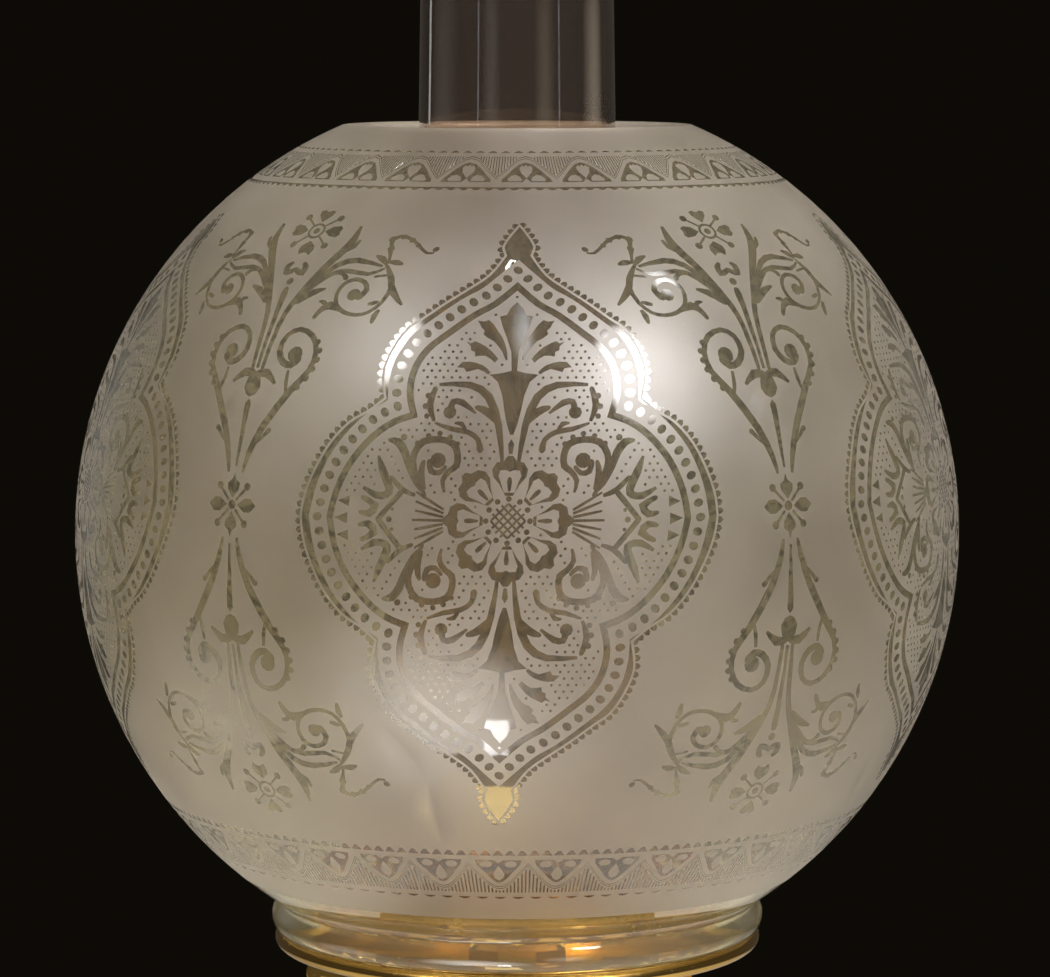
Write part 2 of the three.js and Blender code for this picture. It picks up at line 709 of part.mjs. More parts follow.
// Gallery plate: a pierced disc with a skirt round the basket's rim
const skirtRadius = basketTopRadius + seatGap;
const crownInner = crownRadius - sheetWall;
const plateRadius = crownInner - 2 * seatGap;
const plateProfile = [
  point(galleryPlateHole, 0),
  point(skirtRadius, 0),
  point(skirtRadius, -gallerySkirtDepth),
  point(skirtRadius + gallerySkirtWall, -gallerySkirtDepth),
  point(skirtRadius + gallerySkirtWall, 0),
  point(plateRadius, 0),
  point(plateRadius, galleryPlateThickness),
  point(galleryPlateHole, galleryPlateThickness),
];
const plateHoleMiddle = (skirtRadius + gallerySkirtWall + plateRadius) / 2;
const plateHoles = aroundTurn(crownRepeats, (angle) => {
  const oval = ovalShape(plateHoleLength, 2 * plateHoleRadius);
  const tool = prism(oval, galleryPlateThickness + 2 * cutOverrun, coarseHoleSegments / 2);
  tool.translate(plateHoleMiddle, 0, galleryZ - cutOverrun);
  return tool.rotateZ(angle);
});
add('gallery_plate', cut(turned(plateProfile, bigSegments, galleryZ), plateHoles), brass);

// Seat ring: a flat seat for the shade inside a bullnose bead
const ringInner = crownInner - seatGap;
const beadMiddle = seatRingRadius - beadRadius;
const bead = Array.from({ length: beadSteps + 1 }, (unused, index) => {
  const angle = Math.PI * (index / beadSteps - 0.5);
  return point(beadMiddle + beadRadius * Math.cos(angle), beadRadius * (Math.sin(angle) - 1));
});
const seatRingProfile = [
  point(ringInner, -seatRingThickness),
  point(beadMiddle - beadRadius, -seatRingThickness),
  ...bead,
  point(ringInner, 0),
];
add('gallery_ring', turned(seatRingProfile, bigSegments, gallerySeatZ), brass);

// Crown: a thin band pierced by a ring of ovals, with darts under them and bells between
const crownZ = gallerySeatZ + seatGap;
const crownBand = ring(crownInner, crownRadius, crownHeight);
const bellShares = [[-0.5, 0], [0.5, 0], [0.42, 1], [0, 0.45], [-0.42, 1]];
const dartShares = [[-0.5, 1], [0, 0], [0.5, 1]];
const crownToolDepth = sheetWall + 2 * cutOverrun;
const crownToolStart = crownInner - cutOverrun;
const crownTool = (shape, angle, rise) =>
  radialTool(shape, crownToolStart, crownToolDepth, angle, crownZ + rise, holeSegments / 2);
const crownTools = aroundTurn(crownRepeats, (angle) => {
  const between = angle + Math.PI / crownRepeats;
  return [
    crownTool(ovalShape(crownOvalWidth, crownOvalHeight), angle, crownOvalRise),
    crownTool(shapeFrom(dartShares, crownDartWidth, crownDartHeight), angle, crownDartRise),
    crownTool(shapeFrom(bellShares, crownBellWidth, crownBellHeight), between, crownBellRise),
  ];
}).flat();
add('gallery_crown', cut(turned(crownBand, 2 * crownRepeats, crownZ), crownTools), brass);

// Chimney holder: a band with flared spring fingers round the chimney's foot
const holderInner = chimneyFootRadius + seatGap;
const holderOutline = [
  point(holderInner + holderWall, 0),
  point(holderInner + holderWall, 2 * holderHeight / 3),
  point(holderInner + holderWall + fingerFlare, holderHeight),
];
const fingerSlots = aroundTurn(holderFingers, (angle) => {
  const slot = block(
    [holderInner - cutOverrun, holderInner + holderWall + fingerFlare + cutOverrun],
    [-fingerSlotWidth / 2, fingerSlotWidth / 2],
    [crownZ + holderBandHeight, crownZ + holderHeight + cutOverrun],
  );
  return slot.rotateZ(angle);
});
const holderBlank = turned(walled(holderOutline, holderWall), 3 * holderFingers, crownZ);
add('chimney_holder', cut(holderBlank, fingerSlots), brass);

// Flame dome with a slot over each wick tube
const domeRadius = chimneyFootRadius - chimneyWall - 2 * seatGap;
const domeArc = Array.from({ length: domeSteps + 1 }, (unused, index) => {
  const angle = index * Math.PI / 2 / domeSteps;
  const rise = domeBaseHeight + (domeHeight - domeBaseHeight) * Math.sin(angle);
  return point(index < domeSteps ? domeRadius * Math.cos(angle) : 0, rise);
});
const domeOutline = [point(domeRadius, 0), ...domeArc];
const domeProfile = walled(domeOutline, sheetWall);
domeProfile[domeOutline.length].x = 0;
const flameSlot = () => roundEnded(domeSlotLength, domeSlotWidth);
const flameSlots = wickSides.map((y) =>
  placed(prism(flameSlot(), 2 * domeHeight, flatTubeSteps), 0, y, crownZ + domeBaseHeight));
add('burner_dome', cut(turned(domeProfile, midSegments, crownZ), flameSlots), brass);

// Chimney: straight foot, low bulge, then a long taper
const bulgeShares = [[0, 0], [0.55, 0.14], [0.94, 0.32], [1, 0.44], [0.82, 0.6], [0.3, 0.78]];
const bulgeHeight = chimneyBulgeTop - chimneyFootHeight;
const bulgeSpread = chimneyBulgeRadius - chimneyFootRadius;
const bulgePoints = bulgeShares.map(([r, h]) =>
  point(chimneyFootRadius + r * bulgeSpread, chimneyFootHeight + h * bulgeHeight));
const chimneyCurve = new THREE.SplineCurve([
  ...bulgePoints,
  point((chimneyFootRadius + chimneyWaistRadius) / 2, chimneyBulgeTop - bulgeHeight / 12),
  point(chimneyWaistRadius, chimneyBulgeTop + bulgeHeight / 6),
]).getPoints(chimneySteps);
const chimneyOutline = [point(chimneyFootRadius, 0), ...chimneyCurve, point(chimneyTopRadius, chimneyHeight)];
add('chimney', turned(walled(chimneyOutline, chimneyWall), midSegments, glassFootZ), clearGlass);

// Ball shade: a sphere open at the top, with a clear collar that stands on the seat ring
const ballCentreHeight = fitterHeight + Math.sqrt(ballRadius ** 2 - fitterNeckRadius ** 2);
const sphereArc = (radius, lowRadius, highRadius, steps) => {
  const low = -Math.acos(lowRadius / radius);
  const high = Math.acos(highRadius / radius);
  return Array.from({ length: steps + 1 }, (unused, index) => {
    const angle = low + (high - low) * index / steps;
    return point(radius * Math.cos(angle), ballCentreHeight + radius * Math.sin(angle));
  });
};
const innerBall = ballRadius - ballWall;
const innerMouth = innerBall * ballMouthRadius / ballRadius;
const outerArc = sphereArc(ballRadius, fitterNeckRadius, ballMouthRadius, ballOuterSteps);
const innerArc = sphereArc(innerBall, fitterNeckRadius - fitterWall, innerMouth, ballInnerSteps);
const fitterFoot = fitterRadius - fitterFootInset;
const shadeProfile = [
  point(fitterFoot, 0),
  point(fitterRadius - fitterFootRound / 2, fitterFootRound),
  point(fitterRadius, fitterHeight / 2),
  point((fitterRadius + fitterNeckRadius) / 2, fitterHeight * 5 / 6),
  ...outerArc,
  ...innerArc.reverse(),
  point(fitterFoot - fitterFootInset, fitterFootRound),
  point(fitterFoot - fitterFootRound, 0),
];
add('globe_shade', turned(shadeProfile, bigSegments, glassFootZ), etchedGlass);

export default lamp;
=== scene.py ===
from math import acos, cos, degrees, hypot, pi, radians, sin, sqrt
import bpy
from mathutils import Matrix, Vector
from mathutils.geometry import delaunay_2d_cdt


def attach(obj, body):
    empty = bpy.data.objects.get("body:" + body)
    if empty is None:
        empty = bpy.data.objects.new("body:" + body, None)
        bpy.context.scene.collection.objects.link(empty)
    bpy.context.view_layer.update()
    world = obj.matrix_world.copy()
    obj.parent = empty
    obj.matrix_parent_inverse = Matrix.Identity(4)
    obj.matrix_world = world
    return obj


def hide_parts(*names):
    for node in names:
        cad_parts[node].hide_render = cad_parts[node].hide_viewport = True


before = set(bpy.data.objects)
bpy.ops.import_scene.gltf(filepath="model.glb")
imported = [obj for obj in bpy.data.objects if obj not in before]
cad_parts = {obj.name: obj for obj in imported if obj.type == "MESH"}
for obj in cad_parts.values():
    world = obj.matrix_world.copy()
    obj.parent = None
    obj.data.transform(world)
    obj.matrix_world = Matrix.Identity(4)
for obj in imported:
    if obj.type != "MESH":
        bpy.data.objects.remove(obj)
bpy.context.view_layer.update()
mm = 0.001

# undersides of the pieces, and the axes of the winders and the lever, in millimetres above the table
level = {
    "knop": 40.3, "socket": 52.6, "body": 56.4, "bowl": 169.9, "bodyTop": 240.4, "flange": 250.2,
    "fontCollar": 271.5, "burner": 282.8, "basket": 291.1, "winder": 305.1, "lever": 313.0, "plate": 329.4,
    "seat": 330.4, "glass": 330.7,
}
ball = {"radius": 114.3, "wall": 3, "centre": 434.7, "mouth": 43.6}
# half the distance between the two wicks
wickAside = 8.5


# shaping tools

def deselectAll():
    for each in list(bpy.context.selected_objects):
        each.select_set(False)


def activate(piece):
    deselectAll()
    piece.select_set(True)
    bpy.context.view_layer.objects.active = piece


def takeName(name):
    piece = bpy.context.object
    piece.name = name
    piece.data.name = name
    return piece


def settle(piece):
    activate(piece)
    bpy.ops.object.transform_apply(location=True, rotation=True, scale=True)


def smoothLine(spots, steps):
    # a rounded line through all the spots, with the same number of steps between each two
    line = []
    for index in range(len(spots) - 1):
        before = spots[max(index - 1, 0)]
        here, there = spots[index], spots[index + 1]
        after = spots[min(index + 2, len(spots) - 1)]
        for step in range(steps):
            t = step / steps
            line.append(tuple(
                0.5 * (2 * b + (c - a) * t + (2 * a - 5 * b + 4 * c - d) * t * t
                       + (3 * b - a - 3 * c + d) * t * t * t)
                for a, b, c, d in zip(before, here, there, after)))
    line.append(tuple(spots[-1]))
    return line


def scaled(shares, radius, height, inner=0):
    return [(inner + share[0] * radius, share[1] * height) for share in shares]


def lineLeft(line, wall):
    # the same line moved to its left, which is inwards on a line going up
    moved = []
    for index, here in enumerate(line):
        before = line[max(index - 1, 0)]
        after = line[min(index + 1, len(line) - 1)]
        first = Vector(here) - Vector(before) if index else Vector(after) - Vector(here)
        second = Vector(after) - Vector(here) if index < len(line) - 1 else first
        first, second = first.normalized(), second.normalized()
        along = (first + second).normalized()
        stretch = wall / max(along.dot(first), 0.5)
        moved.append((here[0] - along.y * stretch, here[1] + along.x * stretch))
    return moved


def selectPoints():
    bpy.ops.mesh.select_all(action="SELECT")


def weldPoints(reach=0.004):
    selectPoints()
    bpy.ops.mesh.remove_doubles(threshold=reach * mm)


def startPoint(name, x, y, z):
    # a new piece of one point, in edit mode
    deselectAll()
    bpy.ops.mesh.primitive_plane_add(size=mm, location=(x * mm, y * mm, z * mm))
    piece = takeName(name)
    settle(piece)
    bpy.ops.object.mode_set(mode="EDIT")
    selectPoints()
    bpy.ops.mesh.merge(type="CENTER")
    return piece


def drawLoop(line):
    # the point is drawn along a line of (across, height) in millimetres and back to its start
    here = line[0]
    for spot in line[1:] + line[:1]:
        move = ((spot[0] - here[0]) * mm, 0, (spot[1] - here[1]) * mm)
        bpy.ops.mesh.extrude_region_move(TRANSFORM_OT_translate={"value": move})
        here = spot
    weldPoints()
    selectPoints()


def closeMesh():
    selectPoints()
    bpy.ops.mesh.normals_make_consistent(inside=False)
    bpy.ops.object.mode_set(mode="OBJECT")


def spun(name, profile, steps):
    # a closed profile of (radius, height) in millimetres, spun round Z
    piece = startPoint(name, profile[0][0], 0, profile[0][1])
    drawLoop(profile)
    bpy.ops.mesh.spin(steps=steps, angle=2 * pi, center=(0, 0, 0), axis=(0, 0, 1))
    weldPoints()
    closeMesh()
    return piece


def outlineBlock(name, outline, nearY, farY):
    # an outline of (x, z) in millimetres, filled and pushed from one depth to another
    piece = startPoint(name, outline[0][0], nearY, outline[0][1])
    drawLoop(outline)
    bpy.ops.mesh.edge_face_add()
    bpy.ops.mesh.extrude_region_move(TRANSFORM_OT_translate={"value": (0, (farY - nearY) * mm, 0)})
    closeMesh()
    return piece


def boxBlock(name, low, high):
    deselectAll()
    bpy.ops.mesh.primitive_cube_add(size=1)
    piece = takeName(name)
    piece.scale = [(high[axis] - low[axis]) * mm for axis in range(3)]
    piece.location = [(high[axis] + low[axis]) / 2 * mm for axis in range(3)]
    settle(piece)
    return piece


def rodAlong(name, direction, centre, radius, length, sides=48):
    deselectAll()
    turn = {"X": (0, pi / 2, 0), "Y": (pi / 2, 0, 0), "Z": (0, 0, 0)}[direction]
    bpy.ops.mesh.primitive_cylinder_add(vertices=sides, radius=radius * mm, depth=length * mm,
                                        location=[value * mm for value in centre], rotation=turn)
    piece = takeName(name)
    settle(piece)
    return piece


def ovalOutline(across, up, centreUp, corners=20):
    return [(across / 2 * cos(2 * pi * k / corners), centreUp + up / 2 * sin(2 * pi * k / corners))
            for k in range(corners)]


def roundAxis(piece, count, firstTurn=0.0):
    # copies of a cutter at even turns about Z, joined into one
    copies = []
    for number in range(count):
        copied = piece.copy()
        copied.data = piece.data.copy()
        bpy.context.scene.collection.objects.link(copied)
        copied.rotation_euler = (0, 0, radians(firstTurn + number * 360 / count))
        settle(copied)
        copies.append(copied)
    bpy.data.objects.remove(piece, do_unlink=True)
    deselectAll()
    for copied in copies:
        copied.select_set(True)
    bpy.context.view_layer.objects.active = copies[0]
    bpy.ops.object.join()
    return copies[0]


def modify(piece, kind, **settings):
    activate(piece)
    step = piece.modifiers.new("shaping", kind)
    for key, value in settings.items():
        setattr(step, key, value)
    bpy.ops.object.modifier_apply(modifier=step.name)


def combine(piece, others, operation="DIFFERENCE"):
    for other in others:
        modify(piece, "BOOLEAN", object=other, operation=operation, solver="EXACT")
        bpy.data.objects.remove(other, do_unlink=True)


# materials

def newGroup(name, inputs, outputs):
    group = bpy.data.node_groups.new(name, "ShaderNodeTree")
    for label, kind, value in inputs:
        socket = group.interface.new_socket(name=label, in_out="INPUT", socket_type=kind)
        socket.default_value = value
    for label, kind in outputs:
        group.interface.new_socket(name=label, in_out="OUTPUT", socket_type=kind)
    return group, group.nodes.new("NodeGroupInput"), group.nodes.new("NodeGroupOutput")


def feed(tree, socket, value):
    # a link from another socket, or a value of its own
    if isinstance(value, bpy.types.NodeSocket):
        tree.links.new(value, socket)
    else:
        socket.default_value = value


def give(tree, node, **values):
    for key, value in values.items():
        feed(tree, node.inputs[key.replace("_", " ")], value)


def addNode(tree, kind, **settings):
    made = tree.nodes.new(kind)
    for key, value in settings.items():
        if hasattr(made, key):
            setattr(made, key, value)
        else:
            give(tree, made, **{key: value})
    return made


def addGroup(tree, group, values):
    made = addNode(tree, "ShaderNodeGroup", node_tree=group)
    for socket in made.inputs:
        socket.default_value = values[socket.name]
    return made.outputs


def blendColours(tree, factor, first, second, mode="MIX"):
    made = addNode(tree, "ShaderNodeMix", data_type="RGBA", blend_type=mode)
    for index, value in ((0, factor), (6, first), (7, second)):
        feed(tree, made.inputs[index], value)
    return made.outputs[2]


def mathNode(tree, operation, first, second=0.5, clamp=False):
    made = addNode(tree, "ShaderNodeMath", operation=operation, use_clamp=clamp)
    feed(tree, made.inputs[0], first)
    feed(tree, made.inputs[1], second)
    return made.outputs[0]


def remap(tree, value, fromLow, fromHigh, toLow=0, toHigh=1):
    made = addNode(tree, "ShaderNodeMapRange", Value=value, From_Min=fromLow, From_Max=fromHigh,
                   To_Min=toLow, To_Max=toHigh)
    return made.outputs["Result"]


def noiseAt(tree, vector, scale, detail=3.0, roughness=0.55):
    made = addNode(tree, "ShaderNodeTexNoise", Vector=vector, Scale=scale, Detail=detail, Roughness=roughness)
    return made.outputs["Fac"]


def mixShaders(tree, factor, first, second):
    made = tree.nodes.new("ShaderNodeMixShader")
    for index, source in enumerate((factor, first, second)):
        tree.links.new(source, made.inputs[index])
    return made.outputs[0]


def buildMetalWear():
    # tarnish in soft patches, fine marks round the axis left by the lathe, and their effect on gloss
    values = {"patchScale": 26, "speckScale": 420, "latheScale": (6, 6, 900), "speckShare": 0.6,
              "markShare": 0.45, "stainShare": 0.6, "speckHeight": 0.5}
    group, given, out = newGroup("metalWear", [
        ("Metal", "NodeSocketColor", (0.8, 0.55, 0.22, 1)), ("Tarnish", "NodeSocketColor", (0.35, 0.2, 0.07, 1)),
        ("Tarnish Amount", "NodeSocketFloat", 0.3),
        ("Gloss Low", "NodeSocketFloat", 0.16), ("Gloss High", "NodeSocketFloat", 0.34),
    ], [("Color", "NodeSocketColor"), ("Roughness", "NodeSocketFloat"), ("Height", "NodeSocketFloat")])
    place = addNode(group, "ShaderNodeTexCoord").outputs["Object"]
    specks = noiseAt(group, place, values["speckScale"], 3, 0.6)
    squeeze = addNode(group, "ShaderNodeMapping", Vector=place, Scale=values["latheScale"])
    latheMarks = noiseAt(group, squeeze.outputs[0], 1.0, 2, 0.5)
    stain = remap(group, noiseAt(group, place, values["patchScale"], 5, 0.6), 0.42, 0.72)
    both = mathNode(group, "ADD", stain, remap(group, specks, 0.55, 0.75, 0, values["speckShare"]), clamp=True)
    amount = mathNode(group, "MULTIPLY", both, given.outputs["Tarnish Amount"])
    dull = mathNode(group, "ADD", mathNode(group, "MULTIPLY", latheMarks, values["markShare"]),
                    mathNode(group, "MULTIPLY", both, values["stainShare"]), clamp=True)
    give(group, out, Color=blendColours(group, amount, given.outputs["Metal"], given.outputs["Tarnish"]),
         Roughness=remap(group, dull, 0.1, 0.8, given.outputs["Gloss Low"], given.outputs["Gloss High"]),
         Height=mathNode(group, "ADD", latheMarks, mathNode(group, "MULTIPLY", specks, values["speckHeight"])))
    return group


def buildSurfaceGrain():
    # small grains and slow waves of a glaze or a glass surface, as a height and a cloudiness
    group, given, out = newGroup("surfaceGrain", [
        ("Grain Scale", "NodeSocketFloat", 900.0), ("Wave Scale", "NodeSocketFloat", 14.0),
        ("Grain Amount", "NodeSocketFloat", 0.5), ("Wave Amount", "NodeSocketFloat", 0.5),
    ], [("Height", "NodeSocketFloat"), ("Cloud", "NodeSocketFloat")])
    place = addNode(group, "ShaderNodeTexCoord").outputs["Object"]
    heights = []
    for label, detail in (("Grain", 2.0), ("Wave", 3.0)):
        texture = addNode(group, "ShaderNodeTexNoise", Vector=place, Scale=given.outputs[label + " Scale"],
                          Detail=detail).outputs["Fac"]
        heights.append(mathNode(group, "MULTIPLY", texture, given.outputs[label + " Amount"]))
    give(group, out, Height=mathNode(group, "ADD", *heights), Cloud=texture)
    return group


metalWear = buildMetalWear()
surfaceGrain = buildSurfaceGrain()


def newMaterial(name, **values):
    material = bpy.data.materials.new(name)
    material.use_nodes = True
    tree = material.node_tree
    shader = next(node for node in tree.nodes if node.type == "BSDF_PRINCIPLED")
    give(tree, shader, **values)
    return material, tree, shader


def addBump(tree, shader, height, strength, distance):
    bump = addNode(tree, "ShaderNodeBump", Height=height, Strength=strength, Distance=distance * mm)
    give(tree, shader, Normal=bump.outputs["Normal"])


def metalMaterial(name, values):
    material, tree, shader = newMaterial(name, Metallic=1.0)
    wear = addGroup(tree, metalWear, values)
    give(tree, shader, Base_Color=wear["Color"], Roughness=wear["Roughness"])
    addBump(tree, shader, wear["Height"], values["Bump"], 0.05)
    return material


def glassMaterial(name, values):
    rough = values["roughness"]
    material, tree, shader = newMaterial(name, Base_Color=values["colour"], Roughness=rough, IOR=values["ior"],
                                         Transmission_Weight=values["transmission"])
    grain = addGroup(tree, surfaceGrain, values)
    addBump(tree, shader, grain["Height"], values["bump"], 0.1)
    if "cloud" in values:
        cloud = remap(tree, grain["Cloud"], 0.3, 0.7)
        duller, clearer = values["cloudRoughness"]
        give(tree, shader, Base_Color=blendColours(tree, cloud, values["colour"], values["cloud"]),
             Roughness=remap(tree, grain["Cloud"], 0.3, 0.7, rough - clearer, rough + duller))
    # lamps shine through the glass instead of being cut off by it
    throughLight = addNode(tree, "ShaderNodeBsdfTransparent", Color=values["shadow"])
    paths = addNode(tree, "ShaderNodeLightPath")
    output = next(node for node in tree.nodes if node.type == "OUTPUT_MATERIAL")
    give(tree, output, Surface=mixShaders(tree, paths.outputs["Is Shadow Ray"], shader.outputs[0],
                                          throughLight.outputs[0]))
    return material


brass = metalMaterial("polishedBrass", {
    "Metal": (0.80, 0.52, 0.145, 1), "Tarnish": (0.46, 0.26, 0.08, 1), "Tarnish Amount": 0.35,
    "Gloss Low": 0.12, "Gloss High": 0.3, "Bump": 0.12,
})
fontBrass = metalMaterial("lacqueredBrass", {
    "Metal": (0.72, 0.48, 0.18, 1), "Tarnish": (0.36, 0.20, 0.07, 1), "Tarnish Amount": 0.5,
    "Gloss Low": 0.22, "Gloss High": 0.46, "Bump": 0.14,
})
steel = metalMaterial("greySteel", {
    "Metal": (0.46, 0.46, 0.47, 1), "Tarnish": (0.22, 0.17, 0.13, 1), "Tarnish Amount": 0.55,
    "Gloss Low": 0.28, "Gloss High": 0.55, "Bump": 0.2,
})
etchedGlass = glassMaterial("etchedGlass", {
    "colour": (0.46, 0.425, 0.395, 1), "cloud": (0.63, 0.59, 0.56, 1), "roughness": 0.46,
    "cloudRoughness": (0.07, 0.08), "ior": 1.7, "transmission": 0.86, "bump": 0.35, "Grain Scale": 1600.0,
    "Wave Scale": 22.0, "Grain Amount": 0.8, "Wave Amount": 0.1, "shadow": (0.34, 0.32, 0.28, 1),
})
# the clear ornament's glass is tinted dark grey: painted shade that darkens what is seen through the clear pattern
ornamentGlass = glassMaterial("ornamentGlass", {
    "colour": (0.38, 0.37, 0.36, 1), "roughness": 0.05, "ior": 1.5, "transmission": 0.97, "bump": 0.05,
    "Grain Scale": 500.0, "Wave Scale": 30.0, "Grain Amount": 0.1, "Wave Amount": 0.6,
    "shadow": (0.85, 0.83, 0.80, 1),
})
# the strong yellow tint of this clear glass partly paints the gold glow of the brass gallery seen through the collar
clearGlass = glassMaterial("clearGlass", {
    "colour": (0.94, 0.88, 0.62, 1), "roughness": 0.03, "ior": 1.5, "transmission": 0.93, "bump": 0.03,
    "Grain Scale": 300.0, "Wave Scale": 26.0, "Grain Amount": 0.02, "Wave Amount": 0.6,
    "shadow": (0.94, 0.93, 0.88, 1),
})
chimneyGlass = glassMaterial("chimneyGlass", {
    "colour": (0.80, 0.69, 0.60, 1), "roughness": 0.02, "ior": 1.5, "transmission": 0.992, "bump": 0.05,
    "Grain Scale": 300.0, "Wave Scale": 18.0, "Grain Amount": 0.02, "Wave Amount": 0.8,
    "shadow": (0.92, 0.91, 0.89, 1),
})


def buildPorcelain():
    # an ivory glaze with gilt lines round the foot, the shoulder and the neck
    values = {
        "glaze": (0.84, 0.79, 0.68, 1), "deepGlaze": (0.78, 0.72, 0.60, 1), "gilt": (0.80, 0.56, 0.20, 1),
        "lines": [(58.6, 1.1), (66.0, 0.45), (217.5, 0.45), (224.2, 1.0), (229.0, 0.4)], "lineEdge": 0.12,
        "Grain Scale": 240.0, "Wave Scale": 18.0, "Grain Amount": 0.08, "Wave Amount": 0.9,
        "rubScale": 160, "glazeRough": 0.13, "giltRough": 0.28,
    }
    material, tree, shader = newMaterial("ivoryPorcelain", IOR=1.5, Coat_Weight=0.6, Coat_Roughness=0.05)
    grain = addGroup(tree, surfaceGrain, values)
    place = addNode(tree, "ShaderNodeTexCoord").outputs["Object"]
    height = addNode(tree, "ShaderNodeSeparateXYZ", Vector=place).outputs["Z"]
    gilt = None
    for middle, half in values["lines"]:
        away = mathNode(tree, "ABSOLUTE", mathNode(tree, "SUBTRACT", height, middle * mm))
        near = remap(tree, away, half * mm, (half + values["lineEdge"]) * mm, 1, 0)
        gilt = near if gilt is None else mathNode(tree, "MAXIMUM", gilt, near)
    rubbed = remap(tree, noiseAt(tree, place, values["rubScale"], 4, 0.65), 0.3, 0.42, 0.7, 1)
    gilding = mathNode(tree, "MULTIPLY", gilt, rubbed)
    tone = blendColours(tree, remap(tree, grain["Cloud"], 0.35, 0.65), values["glaze"], values["deepGlaze"])
    give(tree, shader, Base_Color=blendColours(tree, gilding, tone, values["gilt"]), Metallic=gilding,
         Roughness=remap(tree, gilding, 0, 1, values["glazeRough"], values["giltRough"]))
    addBump(tree, shader, grain["Height"], 0.12, 0.2)
    return material


def buildCloth(name, first, second, pitch, strength):
    material, tree, shader = newMaterial(name, Roughness=0.95)
    place = addNode(tree, "ShaderNodeTexCoord").outputs["Object"]
    waves = [addNode(tree, "ShaderNodeTexWave", wave_type="BANDS", bands_direction=direction, Vector=place,
                     Scale=pitch, Distortion=1.4, Detail_Scale=2.0).outputs["Fac"] for direction in ("X", "Z")]
    weave = mathNode(tree, "MULTIPLY", *waves)
    fuzz = noiseAt(tree, place, 900, 4, 0.7)
    give(tree, shader, Base_Color=blendColours(tree, mathNode(tree, "ADD", weave, fuzz, clamp=True), first, second))
    addBump(tree, shader, mathNode(tree, "ADD", weave, mathNode(tree, "MULTIPLY", fuzz, 0.5)), strength, 0.3)
    return material


porcelain = buildPorcelain()
cotton = buildCloth("wickCotton", (0.50, 0.43, 0.32, 1), (0.82, 0.76, 0.62, 1), 420, 0.7)
felt = buildCloth("feltPad", (0.10, 0.06, 0.04, 1), (0.22, 0.13, 0.08, 1), 900, 0.5)
print("materials are ready")


def finish(piece, node, body, material=brass, slotName="brass", soften=0.15, angle=32, smooth=38):
    # rounded edges, a smooth surface, a material, and the piece's place on the frame
    if soften:
        modify(piece, "BEVEL", width=soften * mm, segments=2, limit_method="ANGLE", angle_limit=radians(angle))
    activate(piece)
    bpy.ops.object.shade_smooth_by_angle(angle=radians(smooth))
    piece.data.materials.clear()
    piece.data.materials.append(material)
    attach(piece, body)
    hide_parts(node)


def turned(name, node, body, profile, lift=0, steps=112, soften=0.25, **looks):
    # a piece spun from its profile, lifted to its place in millimetres above the table
    finish(spun(name, [(r, lift + z) for r, z in profile], steps), node, body, soften=soften, **looks)


# the ball shade: its ornament is drawn flat in degrees, triangulated, and laid on the sphere

ornament = {
    "cartoucheLon": -1.1, "cartoucheLat": 7.7, "lean": 0.04, "sprayLon": 34.9, "sprayLat": 8.4,
    "copies": 5, "topArches": 28, "topApex": 2.0, "bottomArches": 39, "bottomApex": 6.3,
    "topBand": (52.2, 61.4), "bottomBand": (-45.6, -35.3), "frostEnds": -50.0, "gridPitch": 3.0,
    "seam": [(62.6, 46), (61, 41), (59.3, 37), (56.2, 33.6), (53.6, 31), (50, 28), (49, 22), (43.5, 15),
             (41.6, 8.4), (43.3, 0), (48.3, -6), (49.5, -12), (55, -17.5), (60, -25)],
    "seamTop": 62.4, "seamBottom": 61.0, "joinLat": 63.4,
}
bandDots = {"pitch": 1.72, "apart": 1.2, "long": 0.53, "wide": 0.64}
stipple = {"rows": 37, "columns": 26, "across": 0.98, "up": 0.82, "radius": 0.2, "clear": 0.42, "rosette": 3.4,
           "hornTop": 2.6, "hornFrom": 6.5, "hornTo": 19.5}


def upright(polygon):
    # the same polygon, its corners in anticlockwise order
    area = sum(a[0] * b[1] - b[0] * a[1] for a, b in zip(polygon, polygon[1:] + polygon[:1]))
    return polygon if area > 0 else polygon[::-1]


def flatten(spots, middle):
    # measured offsets in degrees of longitude, as true widths on the sphere
    return [(x * cos(radians(middle + y)), y) for x, y in spots]


def lineNormals(line, closed=False):
    normals = []
    count = len(line)
    for index in range(count):
        before = line[index - 1] if closed or index else line[index]
        after = line[(index + 1) % count] if closed or index < count - 1 else line[index]
        runs = [(b[0] - a[0], b[1] - a[1]) for a, b in ((before, line[index]), (line[index], after))]
        units = [(x / hypot(x, y), y / hypot(x, y)) for x, y in runs if hypot(x, y) > 0]
        along = (sum(unit[0] for unit in units), sum(unit[1] for unit in units))
        size = max(hypot(*along), 0.01)
        along = (along[0] / size, along[1] / size)
        stretch = 1 / max(along[0] * units[0][0] + along[1] * units[0][1], 0.35)
        normals.append((along[1] * stretch, -along[0] * stretch))
    return normals


def nearEdge(x, y, loop, gap):
    for (x0, y0), (x1, y1) in zip(loop, loop[1:] + loop[:1]):
        dx, dy = x1 - x0, y1 - y0
        t = max(0, min(1, ((x - x0) * dx + (y - y0) * dy) / max(dx * dx + dy * dy, 1e-9)))
        if hypot(x0 + t * dx - x, y0 + t * dy - y) < gap:
            return True
    return False


def growLoop(loop, distance):
    # a closed anticlockwise loop moved outwards, or inwards for a negative distance, without its crossings
    moved = [(x + nx * distance, y + ny * distance) for (x, y), (nx, ny) in zip(loop, lineNormals(loop, True))]
    return [spot for spot in moved if not nearEdge(*spot, loop, 0.96 * abs(distance))]


